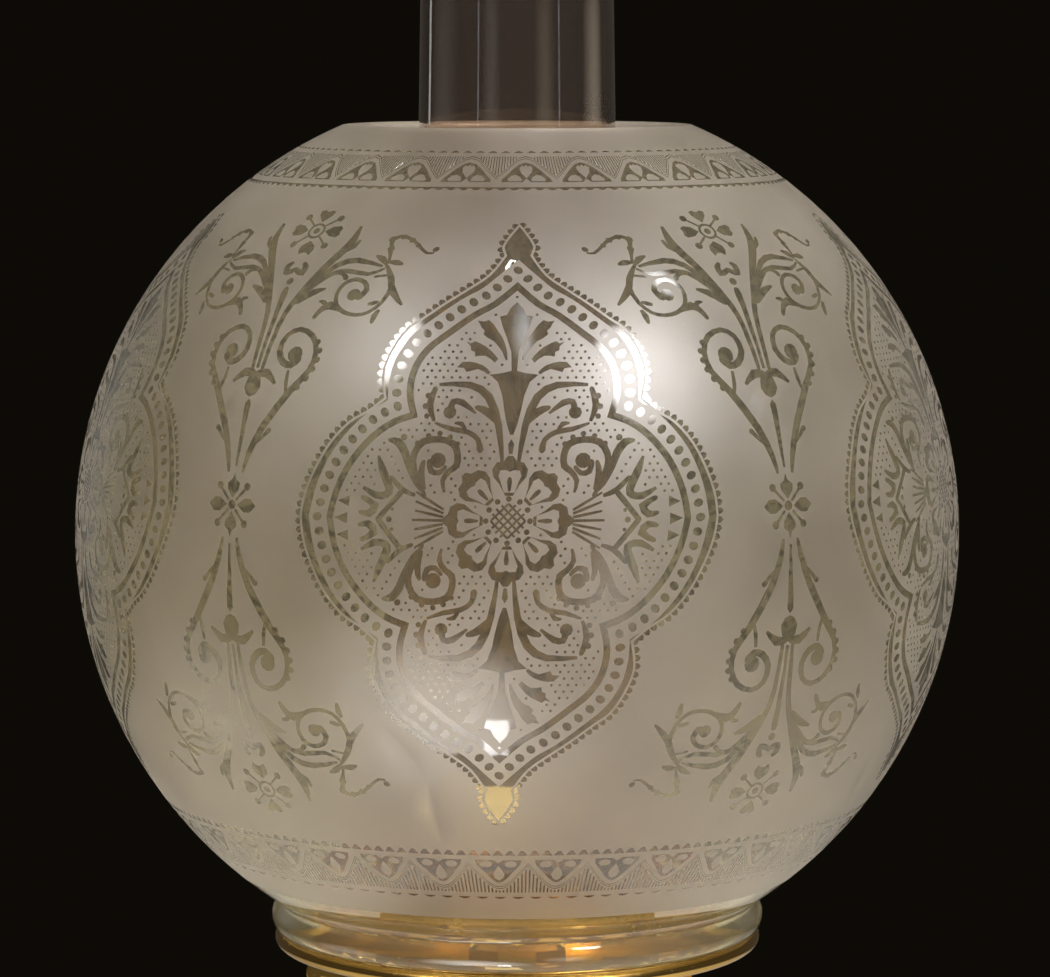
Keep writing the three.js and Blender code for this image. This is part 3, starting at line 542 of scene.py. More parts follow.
def ribbon(spots, halves, steps=2):
    # a stroke with a changing half width, as a chain of triangles, its broad ends rounded
    roundFrom = 0.22
    centre = smoothLine([(x, y, half) for (x, y), half in zip(spots, halves)], steps)
    normals = lineNormals([(x, y) for x, y, half in centre])
    left = [(x - nx * half, y - ny * half) for (x, y, half), (nx, ny) in zip(centre, normals)]
    right = [(x + nx * half, y + ny * half) for (x, y, half), (nx, ny) in zip(centre, normals)]
    patches = []
    for i in range(len(centre) - 1):
        patches += [[right[i], right[i + 1], left[i + 1]], [right[i], left[i + 1], left[i]]]
    for end, way in ((0, -1), (len(centre) - 1, 1)):
        half = centre[end][2]
        if half > roundFrom:
            nx, ny = normals[end]
            tip = (-ny * half * way, nx * half * way)
            x, y = centre[end][:2]
            patches.append([right[end], (x + 0.6 * nx * half + 0.7 * tip[0], y + 0.6 * ny * half + 0.7 * tip[1]),
                            (x + tip[0], y + tip[1]),
                            (x - 0.6 * nx * half + 0.7 * tip[0], y - 0.6 * ny * half + 0.7 * tip[1]), left[end]])
    return patches


def inked(strokes, beads, middle):
    # measured strokes and round spots, as patches
    patches = []
    for spots, halves in strokes:
        patches += ribbon(flatten(spots, middle), halves)
    for x, y, radius in beads:
        patches += disc(x * cos(radians(middle + y)), y, radius, 7)
    return patches


def disc(x, y, radius, corners=8, tall=1.0):
    return [[(x + radius * cos(2 * pi * k / corners), y + tall * radius * sin(2 * pi * k / corners))
             for k in range(corners)]]


def flipped(patches, across, up):
    return [[(x * across, y * up) for x, y in patch] for patch in patches]


def everyQuarter(patches):
    return [patch for across in (1, -1) for up in (1, -1) for patch in flipped(patches, across, up)]


def turnedPatch(patch, angle):
    return [(x * cos(angle) - y * sin(angle), x * sin(angle) + y * cos(angle)) for x, y in patch]


def wholeLoop(quarter):
    # a quarter from the top to the right, mirrored into an anticlockwise loop
    right = quarter + [(x, -y) for x, y in quarter[-2::-1]]
    return upright(right[:-1] + [(-x, y) for x, y in right[:0:-1]])


def insideLoop(x, y, loop):
    crossings = 0
    for (x0, y0), (x1, y1) in zip(loop, loop[1:] + loop[:1]):
        if (y0 > y) != (y1 > y) and x < x0 + (y - y0) * (x1 - x0) / (y1 - y0):
            crossings += 1
    return crossings % 2 == 1


def nearPatch(x, y, patch, gap):
    return nearEdge(x, y, patch, gap) or insideLoop(x, y, patch)


def alongLoop(loop, pitch):
    # evenly spaced places on a closed loop, with the outward direction at each
    runs = [hypot(b[0] - a[0], b[1] - a[1]) for a, b in zip(loop, loop[1:] + loop[:1])]
    count = 4 * round(sum(runs) / pitch / 4)
    places, index, passed = [], 0, 0.0
    for number in range(count):
        goal = (number + 0.5) * sum(runs) / count
        while passed + runs[index] < goal:
            passed += runs[index]
            index += 1
        a, b = loop[index], loop[(index + 1) % len(loop)]
        share = (goal - passed) / runs[index]
        direction = ((b[0] - a[0]) / runs[index], (b[1] - a[1]) / runs[index])
        places.append(((a[0] + share * (b[0] - a[0]), a[1] + share * (b[1] - a[1])), direction))
    return places


def scallops(loop, pitch, rise):
    half = 0.46 * pitch
    shape = [(-half, -0.06), (half, -0.06), (0.78 * half, 0.6 * rise), (0, rise), (-0.78 * half, 0.6 * rise)]
    return [[(x + u * dx + v * dy, y + u * dy - v * dx) for u, v in shape]
            for (x, y), (dx, dy) in alongLoop(loop, pitch)]


def drawCartouche():
    # painted from the edge inwards, as (clear or not, patches)
    middle = ornament["cartoucheLat"]
    edgeRuns = [
        [(0, 40.2), (1.5, 38.7), (3.0, 36.8), (3.7, 35.3), (3.3, 34.0)],
        [(3.3, 34.0), (5.25, 31.5), (8.2, 29.5), (11.1, 27.6), (14.0, 25.5), (15.95, 24.1), (17.4, 21.8),
         (18.25, 19.3), (18.3, 17.3), (17.6, 14.8)],
        [(17.6, 14.8), (19.05, 13.6), (21.5, 12.1), (23.85, 9.3), (25.5, 5.8), (26.45, 2.6), (26.65, 0)],
    ]
    lineRuns = [
        [(0, 29.4), (3.1, 26.9), (6.0, 25.3), (9.4, 22.8), (11.8, 20.8), (13.2, 18.3), (13.4, 15.3), (12.5, 12.5)],
        [(12.5, 12.5), (14.95, 11.6), (17.4, 9.8), (19.8, 6.8), (21.3, 3.3), (21.9, 0)],
    ]
    edge, line = [], []
    for runs, whole in ((edgeRuns, edge), (lineRuns, line)):
        for run in runs:
            whole.extend(flatten(smoothLine(run, 3), middle)[0 if run is runs[0] else 1:])
    edge, line = wholeLoop(edge), wholeLoop(line)
    scallopBase = growLoop(edge, -0.7)
    band = growLoop(line, 2.7)
    dots, centres = [], []
    for (x, y), (dx, dy) in alongLoop(growLoop(line, 1.6), bandDots["pitch"]):
        if all(hypot(x - otherX, y - otherY) > bandDots["apart"] for otherX, otherY in centres):
            centres.append((x, y))
            long, wide = bandDots["long"], bandDots["wide"]
            dots.append([(x + long * dx * cos(turn) - wide * dy * sin(turn),
                          y + long * dy * cos(turn) + wide * dx * sin(turn))
                         for turn in (pi * step / 4 for step in range(8))])
    painted = [
        (True, scallops(scallopBase, 1.0, 0.68)), (False, [scallopBase]),
        (True, [growLoop(edge, -1.0)]), (False, [band]), (True, dots),
        (True, [growLoop(line, 0.42)]), (False, [growLoop(line, -0.42)]),
    ]

    # leaves and scrolls of one quarter
    leaves = [
        [(5.4, 24.6), (4.5, 24.5), (3.8, 24.7), (3.1, 24.1), (2.5, 23.3), (1.8, 22.4), (1.35, 21.5), (1.05, 20.5),
         (0.95, 19.5), (1.2, 19.4), (1.65, 20.4), (2.25, 21.2), (2.95, 21.9), (3.8, 22.3), (4.45, 22.8), (4.3, 23.3),
         (4.8, 23.7), (5.0, 24.1)],
        [(6.7, 21.8), (6.0, 21.6), (5.5, 21.9), (4.75, 21.6), (3.95, 21.2), (3.25, 20.7), (2.75, 20.2), (2.2, 19.6),
         (2.6, 19.1), (3.2, 19.6), (3.9, 20.0), (4.7, 20.0), (5.3, 19.9), (5.4, 20.5), (5.95, 20.7), (6.0, 21.2)],
        [(7.6, 18.5), (6.9, 19.2), (6.0, 19.25), (5.1, 19.1), (4.2, 18.8), (3.6, 18.4), (3.1, 17.9), (3.35, 17.6),
         (4.0, 18.0), (4.8, 18.3), (5.6, 18.1), (6.3, 17.9), (6.6, 18.4)],
    ]
    strokes = [
        ([(1.0, 6.9), (1.65, 11.3), (3.1, 14.8), (5.65, 16.3), (9.65, 16.3)], [0.2, 0.42, 0.5, 0.42, 0.2]),
        ([(2.0, 11.6), (3.2, 13.0), (4.5, 13.5)], [0.15, 0.5, 0.3]),
        ([(7.8, 13.4), (7.6, 14.2), (6.4, 14.1), (4.6, 12.8)], [0.4, 0.35, 0.4, 0.15]),
        ([(9.7, 11.6), (7.6, 10.9), (5.4, 10.5), (4.1, 9.6), (3.8, 8.4)], [0.15, 0.3, 0.32, 0.3, 0.42]),
        ([(7.2, 11.6), (6.3, 11.5), (5.6, 10.6)], [0.12, 0.3, 0.12]),
        ([(10.1, 15.8), (10.6, 13.8), (9.8, 11.8)], [0.3, 0.42, 0.2]),
        ([(7.8, 3.3), (8.1, 4.7), (7.4, 5.8), (6.55, 6.5), (6.5, 7.8), (7.15, 9.1), (8.9, 9.6), (10.9, 9.3),
          (11.9, 7.8), (11.85, 6.3), (11.2, 4.8), (10.1, 2.8)],
         [0.15, 0.3, 0.35, 0.4, 0.4, 0.42, 0.4, 0.42, 0.4, 0.4, 0.4, 0.2]),
        ([(9.9, 6.9), (9.6, 5.8), (8.6, 5.6), (7.9, 6.3)], [0.35, 0.35, 0.3, 0.25]),
        ([(15.2, 9.4), (14.1, 9.2), (13.1, 8.0), (12.4, 6.4), (11.2, 4.4), (10.1, 3.0)],
         [0.25, 0.5, 0.5, 0.45, 0.45, 0.15]),
        ([(10.6, 6.9), (10.8, 5.6), (10.2, 3.6)], [0.25, 0.4, 0.15]),
        ([(14.5, 5.0), (12.9, 3.5), (11.3, 2.9)], [0.25, 0.35, 0.2]),
        ([(13.1, 3.2), (14.5, 1.5), (15.7, 0)], [0.34, 0.34, 0.34]),
        ([(18.0, 0.75), (16.9, 0.6), (16.2, 1.6), (17.8, 2.5)], [0.25, 0.42, 0.45, 0.3]),
        ([(17.9, 3.7), (16.2, 2.8), (14.9, 2.9), (14.6, 3.7), (15.6, 5.7), (16.4, 7.5)],
         [0.2, 0.42, 0.42, 0.5, 0.5, 0.15]),
    ]
    for ray in range(1, 4):
        strokes.append(([(7.7, ray * 0.42), (9.4, ray * 0.75), (11.2, ray * 1.1)], [0.16, 0.18, 0.12]))
    bumps = [(13.4, 9.8, 0.42), (11.6, 9.1, 0.36), (10.3, 10.0, 0.36), (8.9, 10.3, 0.36), (7.6, 9.9, 0.36),
             (6.6, 9.1, 0.34), (10.9, 14.9, 0.4), (11.1, 13.6, 0.4), (10.8, 12.4, 0.36), (14.0, 1.15, 0.25)]
    inner = [flatten(leaf, middle) for leaf in leaves] + inked(strokes, bumps, middle)
    inner += disc(7.4, 12.9, 0.8, 9) + disc(8.55, 7.1, 0.95, 10)
    inner.append(flatten([(21.0, 2.0), (19.5, 2.7), (19.5, 1.35)], middle))
    # stem, horns and spear on the axis, the same above and below
    stem = [(0, 27.2), (-0.75, 26.3), (-1.15, 25.4), (-1.95, 25.2), (-1.65, 24.0), (-1.0, 22.2), (-0.45, 20.5),
            (-0.32, 18.1), (-1.4, 17.8), (-2.9, 17.6), (-1.9, 16.7), (-1.3, 15.0), (-1.0, 13.2), (-0.6, 11.4),
            (-0.2, 10.2)]
    bead = [(0, 9.7), (-0.36, 9.1), (-0.2, 7.9)]
    axis = [half + [(-x, y) for x, y in half[:0:-1]] for half in (stem, bead)]
    axis += flipped(axis, 1, -1)
    for side in (1, -1):
        axis += ribbon([(side * 7.7, 0), (side * 11.4, 0)], [0.18, 0.14], 1)
    for side in (1, -1):
        axis += disc(side * 14.2, 0, 0.38, 7)
    axis += [flatten([(side * 21.3, 0), (side * 19.6, 0.7), (side * 19.6, -0.7)], middle) for side in (1, -1)]

    # the rosette: eight petals, a ring of beads and a lattice
    outerPetal = [(0.45, 2.95), (1.2, 4.3), (1.95, 5.2), (2.1, 6.1), (1.6, 6.9), (0.75, 7.1), (0.3, 7.7)]
    innerPetal = [(0.62, 3.35), (1.05, 4.6), (1.35, 5.3), (1.15, 5.95), (0.45, 6.0), (0, 5.8)]
    drop = [(0, 3.4), (0.16, 3.6), (0.3, 4.6), (0.22, 5.1), (0, 5.2)]
    petals = {True: [], False: [], "drops": []}
    for number in range(8):
        for key, half in ((True, outerPetal), (False, innerPetal), ("drops", drop)):
            outline = [(-x, y) for x, y in half] + [(x, y) for x, y in half[::-1] if x > 0]
            petals[key].append(turnedPatch(outline, number * pi / 4))
    beads, lattice = [], []
    ring, beadRadius = 2.6, 0.36
    for number in range(12):
        beads += disc(ring * cos(number * pi / 6), ring * sin(number * pi / 6), beadRadius, 7)
    latticeReach, latticePitch = 2.05, 0.72
    for number in (-2, -1, 0, 1, 2):
        aside = latticePitch * number
        reach = sqrt(latticeReach ** 2 - aside ** 2)
        for turn in (pi / 4, 3 * pi / 4):
            ends = [(aside * cos(turn) - way * reach * sin(turn), aside * sin(turn) + way * reach * cos(turn))
                    for way in (-1, 1)]
            lattice += ribbon(ends, [0.13, 0.13], 1)

    # the dotted ground keeps clear of the drawing, the rosette's middle and the horns' gaps
    quarterInner = growLoop(line, -1.0)
    drawn = inner + axis + petals[True]
    ground = []
    for row in range(stipple["rows"]):
        for column in range(stipple["columns"]):
            x, y = column * stipple["across"] + row % 2 * stipple["across"] / 2, row * stipple["up"]
            if not insideLoop(x + 0.001, y + 0.001, quarterInner) or hypot(x, y) < stipple["rosette"]:
                continue
            if y < stipple["hornTop"] and stipple["hornFrom"] < x < stipple["hornTo"]:
                continue
            if any(nearPatch(x, y, patch, stipple["clear"]) for patch in drawn):
                continue
            spots = {(x, y), (-x, y), (x, -y)}
            if x and y:
                spots.add((-x, -y))
            for spotX, spotY in sorted(spots):
                ground += disc(spotX, spotY, stipple["radius"], 5)
    painted += [
        (True, ground), (True, everyQuarter(inner)), (True, axis), (True, petals[True]), (False, petals[False]),
        (True, petals["drops"]), (True, beads), (True, lattice),
    ]
    return painted


def drawSpray():
    # one half, from the middle upwards; the drawing is mirrored sideways and downwards
    middle = ornament["sprayLat"]
    strokes = [
        ([(0.85, 16.9), (1.3, 22.6), (2.2, 25.6), (5.0, 30.4), (7.4, 33.4), (8.5, 35.3), (8.8, 37.6)],
         [0.26, 0.36, 0.42, 0.5, 0.62, 0.55, 0.2]),
        ([(7.9, 33.6), (9.2, 34.3), (9.9, 35.4)], [0.3, 0.35, 0.2]),
        ([(2.6, 26.0), (4.5, 28.6), (7.6, 31.4), (11.0, 32.2), (15.6, 31.4)], [0.25, 0.3, 0.42, 0.42, 0.18]),
        ([(5.0, 28.4), (6.6, 29.9), (9.6, 30.6), (13.6, 30.2), (16.1, 31.1)], [0.2, 0.25, 0.34, 0.28, 0.18]),
        ([(3.2, 26.6), (5.0, 28.3), (7.6, 30.2), (9.3, 30.1), (10.0, 29.5)], [0.2, 0.25, 0.3, 0.28, 0.36]),
        ([(3.0, 25.9), (5.2, 27.3), (7.2, 27.9)], [0.4, 0.5, 0.15]),
        ([(13.2, 26.9), (14.1, 27.9), (13.4, 29.0), (11.6, 29.4), (10.0, 28.6), (9.4, 27.2), (9.9, 25.7),
          (11.5, 24.7), (13.5, 24.4), (15.3, 24.8), (17.0, 26.2), (18.0, 28.6), (17.2, 30.4), (16.1, 31.6)],
         [0.5, 0.36, 0.3, 0.3, 0.3, 0.28, 0.28, 0.28, 0.25, 0.25, 0.28, 0.32, 0.28, 0.2]),
        ([(11.4, 24.8), (8.9, 25.6), (7.6, 24.9), (6.9, 23.9)], [0.22, 0.55, 0.4, 0.3]),
        ([(8.4, 25.3), (7.7, 26.0), (6.8, 26.1)], [0.3, 0.3, 0.12]),
        ([(16.6, 26.3), (15.8, 26.1), (14.9, 25.9)], [0.15, 0.3, 0.2]),
        ([(16.9, 25.2), (16.4, 24.4), (16.2, 23.5)], [0.2, 0.4, 0.25]),
        ([(16.2, 31.6), (15.2, 32.5), (13.9, 33.0)], [0.15, 0.42, 0.12]),
        ([(16.5, 32.1), (17.8, 32.0), (18.9, 31.7)], [0.2, 0.42, 0.12]),
        ([(16.4, 31.8), (16.3, 33.0), (16.0, 34.2)], [0.22, 0.2, 0.42]),
        ([(16.2, 34.2), (15.8, 35.4), (17.2, 36.1), (19.3, 35.6), (20.8, 34.6), (22.4, 33.5), (23.6, 33.6)],
         [0.2, 0.34, 0.26, 0.24, 0.2, 0.18, 0.14]),
        ([(16.3, 31.5), (17.4, 29.6), (18.4, 27.7), (20.2, 25.9)], [0.2, 0.28, 0.45, 0.14]),
        ([(17.1, 30.1), (15.9, 30.0), (14.7, 29.8)], [0.15, 0.18, 0.16]),
        ([(6.3, 18.3), (5.4, 17.5), (4.0, 17.8), (2.9, 19.3), (3.4, 21.3), (5.3, 22.2), (7.6, 21.4), (8.8, 19.4),
          (8.4, 16.9), (6.2, 14.2), (3.1, 9.6), (1.6, 6.1), (1.1, 3.9)],
         [0.5, 0.45, 0.45, 0.42, 0.36, 0.34, 0.36, 0.36, 0.38, 0.5, 0.5, 0.4, 0.18]),
        ([(5.2, 16.8), (5.3, 15.3), (5.6, 14.0)], [0.2, 0.28, 0.2]),
        ([(4.1, 9.2), (3.2, 8.2), (2.2, 7.4)], [0.32, 0.22, 0.2]),
        ([(1.0, 31.6), (1.75, 31.0), (1.6, 30.1), (0.7, 30.2), (0, 30.6)], [0.22, 0.42, 0.45, 0.38, 0.3]),
        ([(0.5, 16.2), (1.9, 16.3), (3.6, 15.0)], [0.5, 0.55, 0.2]),
    ]
    beads = [(16.1, 34.1, 0.45), (15.8, 35.6, 0.5), (17.7, 36.0, 0.42), (19.4, 35.5, 0.42), (20.6, 34.7, 0.34),
             (23.8, 34.1, 0.42), (8.7, 20.6, 0.42), (9.3, 19.5, 0.42), (9.25, 18.3, 0.44), (8.9, 17.1, 0.44),
             (8.2, 15.9, 0.46), (7.2, 14.7, 0.42), (4.2, 9.2, 0.36)]
    half = inked(strokes, [], middle)
    half += disc(12.2 * cos(radians(35.6)), 27.2, 0.85, 9) + disc(5.6 * cos(radians(27.3)), 18.9, 1.05, 10)
    half += inked([], beads, middle)
    # spokes with balls and side petals of the two flowers
    high = 36.6
    for x, y in ((2.5, 2.2), (2.45, -2.3)):
        half += ribbon([(0.8, high + 0.8 * y / abs(y)), (x, high + y)], [0.15, 0.15], 1) + disc(x, high + y, 0.52, 8)
    half.append([(1.35, high), (2.2, high - 0.75), (3.3, high - 0.95), (3.75, high - 0.55), (3.6, high),
                 (3.75, high + 0.55), (3.3, high + 0.95), (2.2, high + 0.75)])
    half += ribbon([(0.55, 0.55), (2.0, 2.1)], [0.16, 0.2], 1) + disc(2.1, 2.25, 0.5, 8)
    half.append([(0.75, 0), (1.9, -0.85), (2.8, -0.85), (3.6, 0), (2.8, 0.85), (1.9, 0.85)])
    # what stands on the axis
    heartUp = [(0, high + 1.4), (1.0, high + 2.6), (1.15, high + 3.3), (0.6, high + 3.55), (0, high + 3.2)]
    heartDown = [(0, high - 1.6), (1.0, high - 2.4), (1.15, high - 3.1), (0.8, high - 3.9), (0.25, high - 3.5)]
    club = [(0, 28.0), (0.35, 27.8), (0.5, 27.0), (0.4, 25.0), (0.24, 20.0), (0.24, 16.9)]
    lily = [(0, 16.5), (1.0, 15.6), (1.25, 14.4), (0.7, 13.5), (0, 13.2)]
    drop = [(0, 13.0), (0.45, 12.4), (0.42, 11.0), (0.16, 4.6)]
    petal = [(0, 0.75), (0.85, 1.9), (0.95, 2.6), (0.3, 3.1), (0, 3.9)]
    axis = [outline + [(-x, y) for x, y in outline[::-1] if x > 0]
            for outline in (heartUp, heartDown, club, lily, drop, petal)]
    upper = half + flipped(half, -1, 1) + axis

    def aboveAndBelow(patches):
        return patches + flipped(patches, 1, -1)

    return [
        (True, aboveAndBelow(upper) + disc(0, 28.8, 0.55, 8) + disc(0, -28.8, 0.55, 8)),
        (True, aboveAndBelow(disc(0, high, 1.28, 14))), (False, aboveAndBelow(disc(0, high, 0.92, 14))),
        (True, aboveAndBelow(disc(0, high, 0.5, 8)) + disc(0, 0, 0.62, 8)),
    ]


def placedOn(painted, lon, lat, lean):
    # true widths back to degrees of longitude, at a place on the ball
    return [(clear, [(lon + lean * y + x / cos(radians(lat + y)), lat + y) for x, y in patch])
            for clear, patches in painted for patch in patches]


def mirrorLine(half):
    return [(-x, y) for x, y in half[::-1]] + [(x, y) for x, y in half if x > 0]


def archHeight(arch, x):
    for (x0, y0), (x1, y1) in zip(arch, arch[1:]):
        if x0 <= abs(x) <= x1:
            return y0 + (abs(x) - x0) * (y1 - y0) / (x1 - x0)
    return arch[-1][1]


def archLines(arch, lines):
    # lines of (height over the arch, thickness) along both its halves
    return [(True, [(side * x0, y0 + rise), (side * x1, y1 + rise),
                    (side * x1, y1 + rise + thick), (side * x0, y0 + rise + thick)])
            for rise, thick in lines for side in (1, -1) for (x0, y0), (x1, y1) in zip(arch, arch[1:])]


def bar(x, half, low, high):
    return True, [(x - half, low), (x + half, low), (x + half, high), (x - half, high)]


def rowOf(count, wide, shape):
    # clear copies of a shape of (offset, height), evenly over an arch's width
    return [(True, [((number - (count - 1) / 2) * wide / count + x, y) for x, y in shape]) for number in range(count)]


def strokePlaces(wide, count):
    return [(number + 0.5) * wide / count - wide / 2 for number in range(count)]


def drawTopArch(wide):
    # one arch about its apex, from the clear bumps above down to the hanging scallops
    values = {"strokes": 20, "strokeHalf": 0.13, "strokeGap": 0.82, "lastStroke": 59.4, "strokeTop": 59.65,
              "lines": ((0.5, 0.2), (0.08, 0.16)), "rule": (52.95, 53.22)}
    half = wide / 2
    arch = [(0, 59.05), (1.7, 58.6), (3.3, 57.3), (5.0, 55.8), (half, 54.7)]
    ground = [(0, 58.3), (1.5, 57.9), (3.0, 56.8), (4.3, 55.6), (5.2, 54.8), (5.4, 54.2)]
    shield = [(0, 57.8), (0.4, 57.45), (0.95, 57.65), (1.5, 57.1), (1.2, 56.2), (0, 55.0)]
    lying = [(0.95, 54.6), (1.3, 55.25), (2.2, 55.7), (3.2, 55.5), (4.1, 54.75), (3.9, 54.42), (1.2, 54.4)]
    painted = rowOf(4, wide, [(-1.3, 60.5), (1.3, 60.5), (0.7, 60.78), (0, 60.95), (-0.7, 60.78)])
    for x in strokePlaces(wide, values["strokes"]):
        low = archHeight(arch, x) + values["strokeGap"]
        if low < values["lastStroke"]:
            painted.append(bar(x, values["strokeHalf"], low, values["strokeTop"]))
    painted += archLines(arch, values["lines"]) + [(True, mirrorLine(ground)), (False, mirrorLine(shield))]
    painted += [(False, [(side * x, y) for x, y in lying]) for side in (1, -1)]
    painted += [(False, [(-0.9, 54.2), (0.9, 54.2), (0, 54.85)]), bar(0, half, *values["rule"])]
    return painted + rowOf(5, wide, [(-1.0, 52.96), (-0.5, 52.7), (0, 52.6), (0.5, 52.7), (1.0, 52.96)])


def drawBottomArch(wide):
    # one hanging arch about its apex, from the teeth above down to the small scallops
    values = {"strokes": 15, "strokeHalf": 0.14, "strokeGap": 0.85, "lastStroke": -43.5, "strokeFoot": -43.8,
              "lines": ((0.0, -0.17), (-0.42, -0.17))}
    arch = [(0, -42.5), (0.7, -42.35), (1.7, -41.6), (2.9, -40.2), (3.9, -38.9), (wide / 2, -38.0)]
    ground = [(0, -41.75), (0.5, -41.6), (1.3, -40.9), (2.4, -39.5), (3.4, -38.3), (3.6, -37.45)]
    leaf = [(0, -38.5), (0.55, -39.3), (0.92, -40.2), (0.6, -40.9), (0, -41.35)]
    painted = rowOf(5, wide, [(-0.86, -36.68), (0.86, -36.68), (0.22, -35.8), (-0.22, -35.8)])
    painted += archLines(arch, values["lines"])
    for x in strokePlaces(wide, values["strokes"]):
        high = archHeight(arch, x) - values["strokeGap"]
        if high > values["lastStroke"]:
            painted.append(bar(x, values["strokeHalf"], values["strokeFoot"], high))
    painted.append((True, mirrorLine(ground)))
    painted += [(False, disc(side * 1.9, -38.25, 0.95, 9, 0.62)[0]) for side in (1, -1)]
    painted += [(False, mirrorLine(leaf)), (False, [(-0.75, -37.45), (0, -38.0), (0.75, -37.45)])]
    return painted + rowOf(3, wide, [(-1.1, -44.75), (-0.6, -45.05), (0, -45.2), (0.6, -45.05), (1.1, -44.75)])


def triangulate(border, painted, gridPitch):
    # a cell's triangles with the last painted patch that covers each: corners in degrees, faces, clear or not
    polygons = [upright(list(border))] + [upright(patch) for clear, patch in painted]
    kinds = [False] + [clear for clear, patch in painted]
    spots, faces = [], []
    for polygon in polygons:
        faces.append(list(range(len(spots), len(spots) + len(polygon))))
        spots += polygon
    if gridPitch:
        lows = [min(spot[axis] for spot in border) for axis in (0, 1)]
        highs = [max(spot[axis] for spot in border) for axis in (0, 1)]
        rows = int((highs[1] - lows[1]) / gridPitch)
        columns = int((highs[0] - lows[0]) / gridPitch)
        for row in range(1, rows + 1):
            for column in range(columns + 1):
                x = lows[0] + (column + 0.5 * (row % 2)) * gridPitch
                y = lows[1] + row * (highs[1] - lows[1]) / (rows + 1)
                if insideLoop(x, y, border) and not nearEdge(x, y, border, 0.5):
                    spots.append((x, y))
    corners, _, triangles, _, _, fromFaces = delaunay_2d_cdt(
        [Vector(spot) for spot in spots], [], faces, 1, 1e-5)
    clears = [kinds[max(covering)] if covering else False for covering in fromFaces]
    return corners, triangles, clears


def onBall(lon, lat, radius=ball["radius"]):
    flat = radius * cos(radians(lat))
    return (flat * sin(radians(lon)), -flat * cos(radians(lon)), ball["centre"] + radius * sin(radians(lat)))


def evenSpots(first, pitch, count, lat):
    return [(first + pitch * index, lat) for index in range(count + 1)]


def nearestPlace(start, pitch, goal):
    return start + pitch * round((goal - start) / pitch)


def onCircle(radius, lat, look):
    # a point of the shade's profile, about the ball's centre: radius, height and what it is made of
    return radius * cos(radians(lat)), radius * sin(radians(lat)), look


def shadeProfile(lowLat):
    # up over the mouth, down the inside, out through the collar and up to the lower border
    frosted, clear = 0, 2
    values = {"rimLats": (ornament["joinLat"], 65.2), "lipSteps": 7, "insideSteps": 32, "collarInside": 59.0,
              "neckLats": (-56.9, -54.6, -52.3), "lowestFrost": -47.8}
    outer, wall = ball["radius"], ball["wall"]
    middle = outer - wall / 2
    rim = degrees(acos(ball["mouth"] / outer)) - degrees(wall / 2 / middle)
    profile = [onCircle(outer, lat, frosted) for lat in (*values["rimLats"], rim)]
    for step in range(1, values["lipSteps"]):
        swing = radians(180 * step / values["lipSteps"])
        reach = middle + wall / 2 * cos(swing)
        up = wall / 2 * sin(swing)
        profile.append((reach * cos(radians(rim)) - up * sin(radians(rim)),
                        reach * sin(radians(rim)) + up * cos(radians(rim)), frosted))
    innerLow = -degrees(acos(values["collarInside"] / (outer - wall)))
    steps = values["insideSteps"]
    profile += [onCircle(outer - wall, rim + (innerLow - rim) * step / steps, clear) for step in range(steps + 1)]
    collar = [(59.05, 6.2), (59.1, 3.0), (59.35, 1.3), (59.75, 0.4), (60.5, 0.05), (61.8, 0.05), (62.9, 0.45),
              (63.6, 1.4), (64.1, 2.8), (64.2, 4.1), (63.95, 5.3), (63.35, 6.6), (62.75, 7.6)]
    foot = level["glass"] - ball["centre"]
    profile += [(r, foot + z, clear) for r, z in collar]
    profile += [onCircle(outer, lat, clear) for lat in values["neckLats"]]
    return profile + [onCircle(outer, lat, frosted) for lat in (ornament["frostEnds"], values["lowestFrost"], lowLat)]


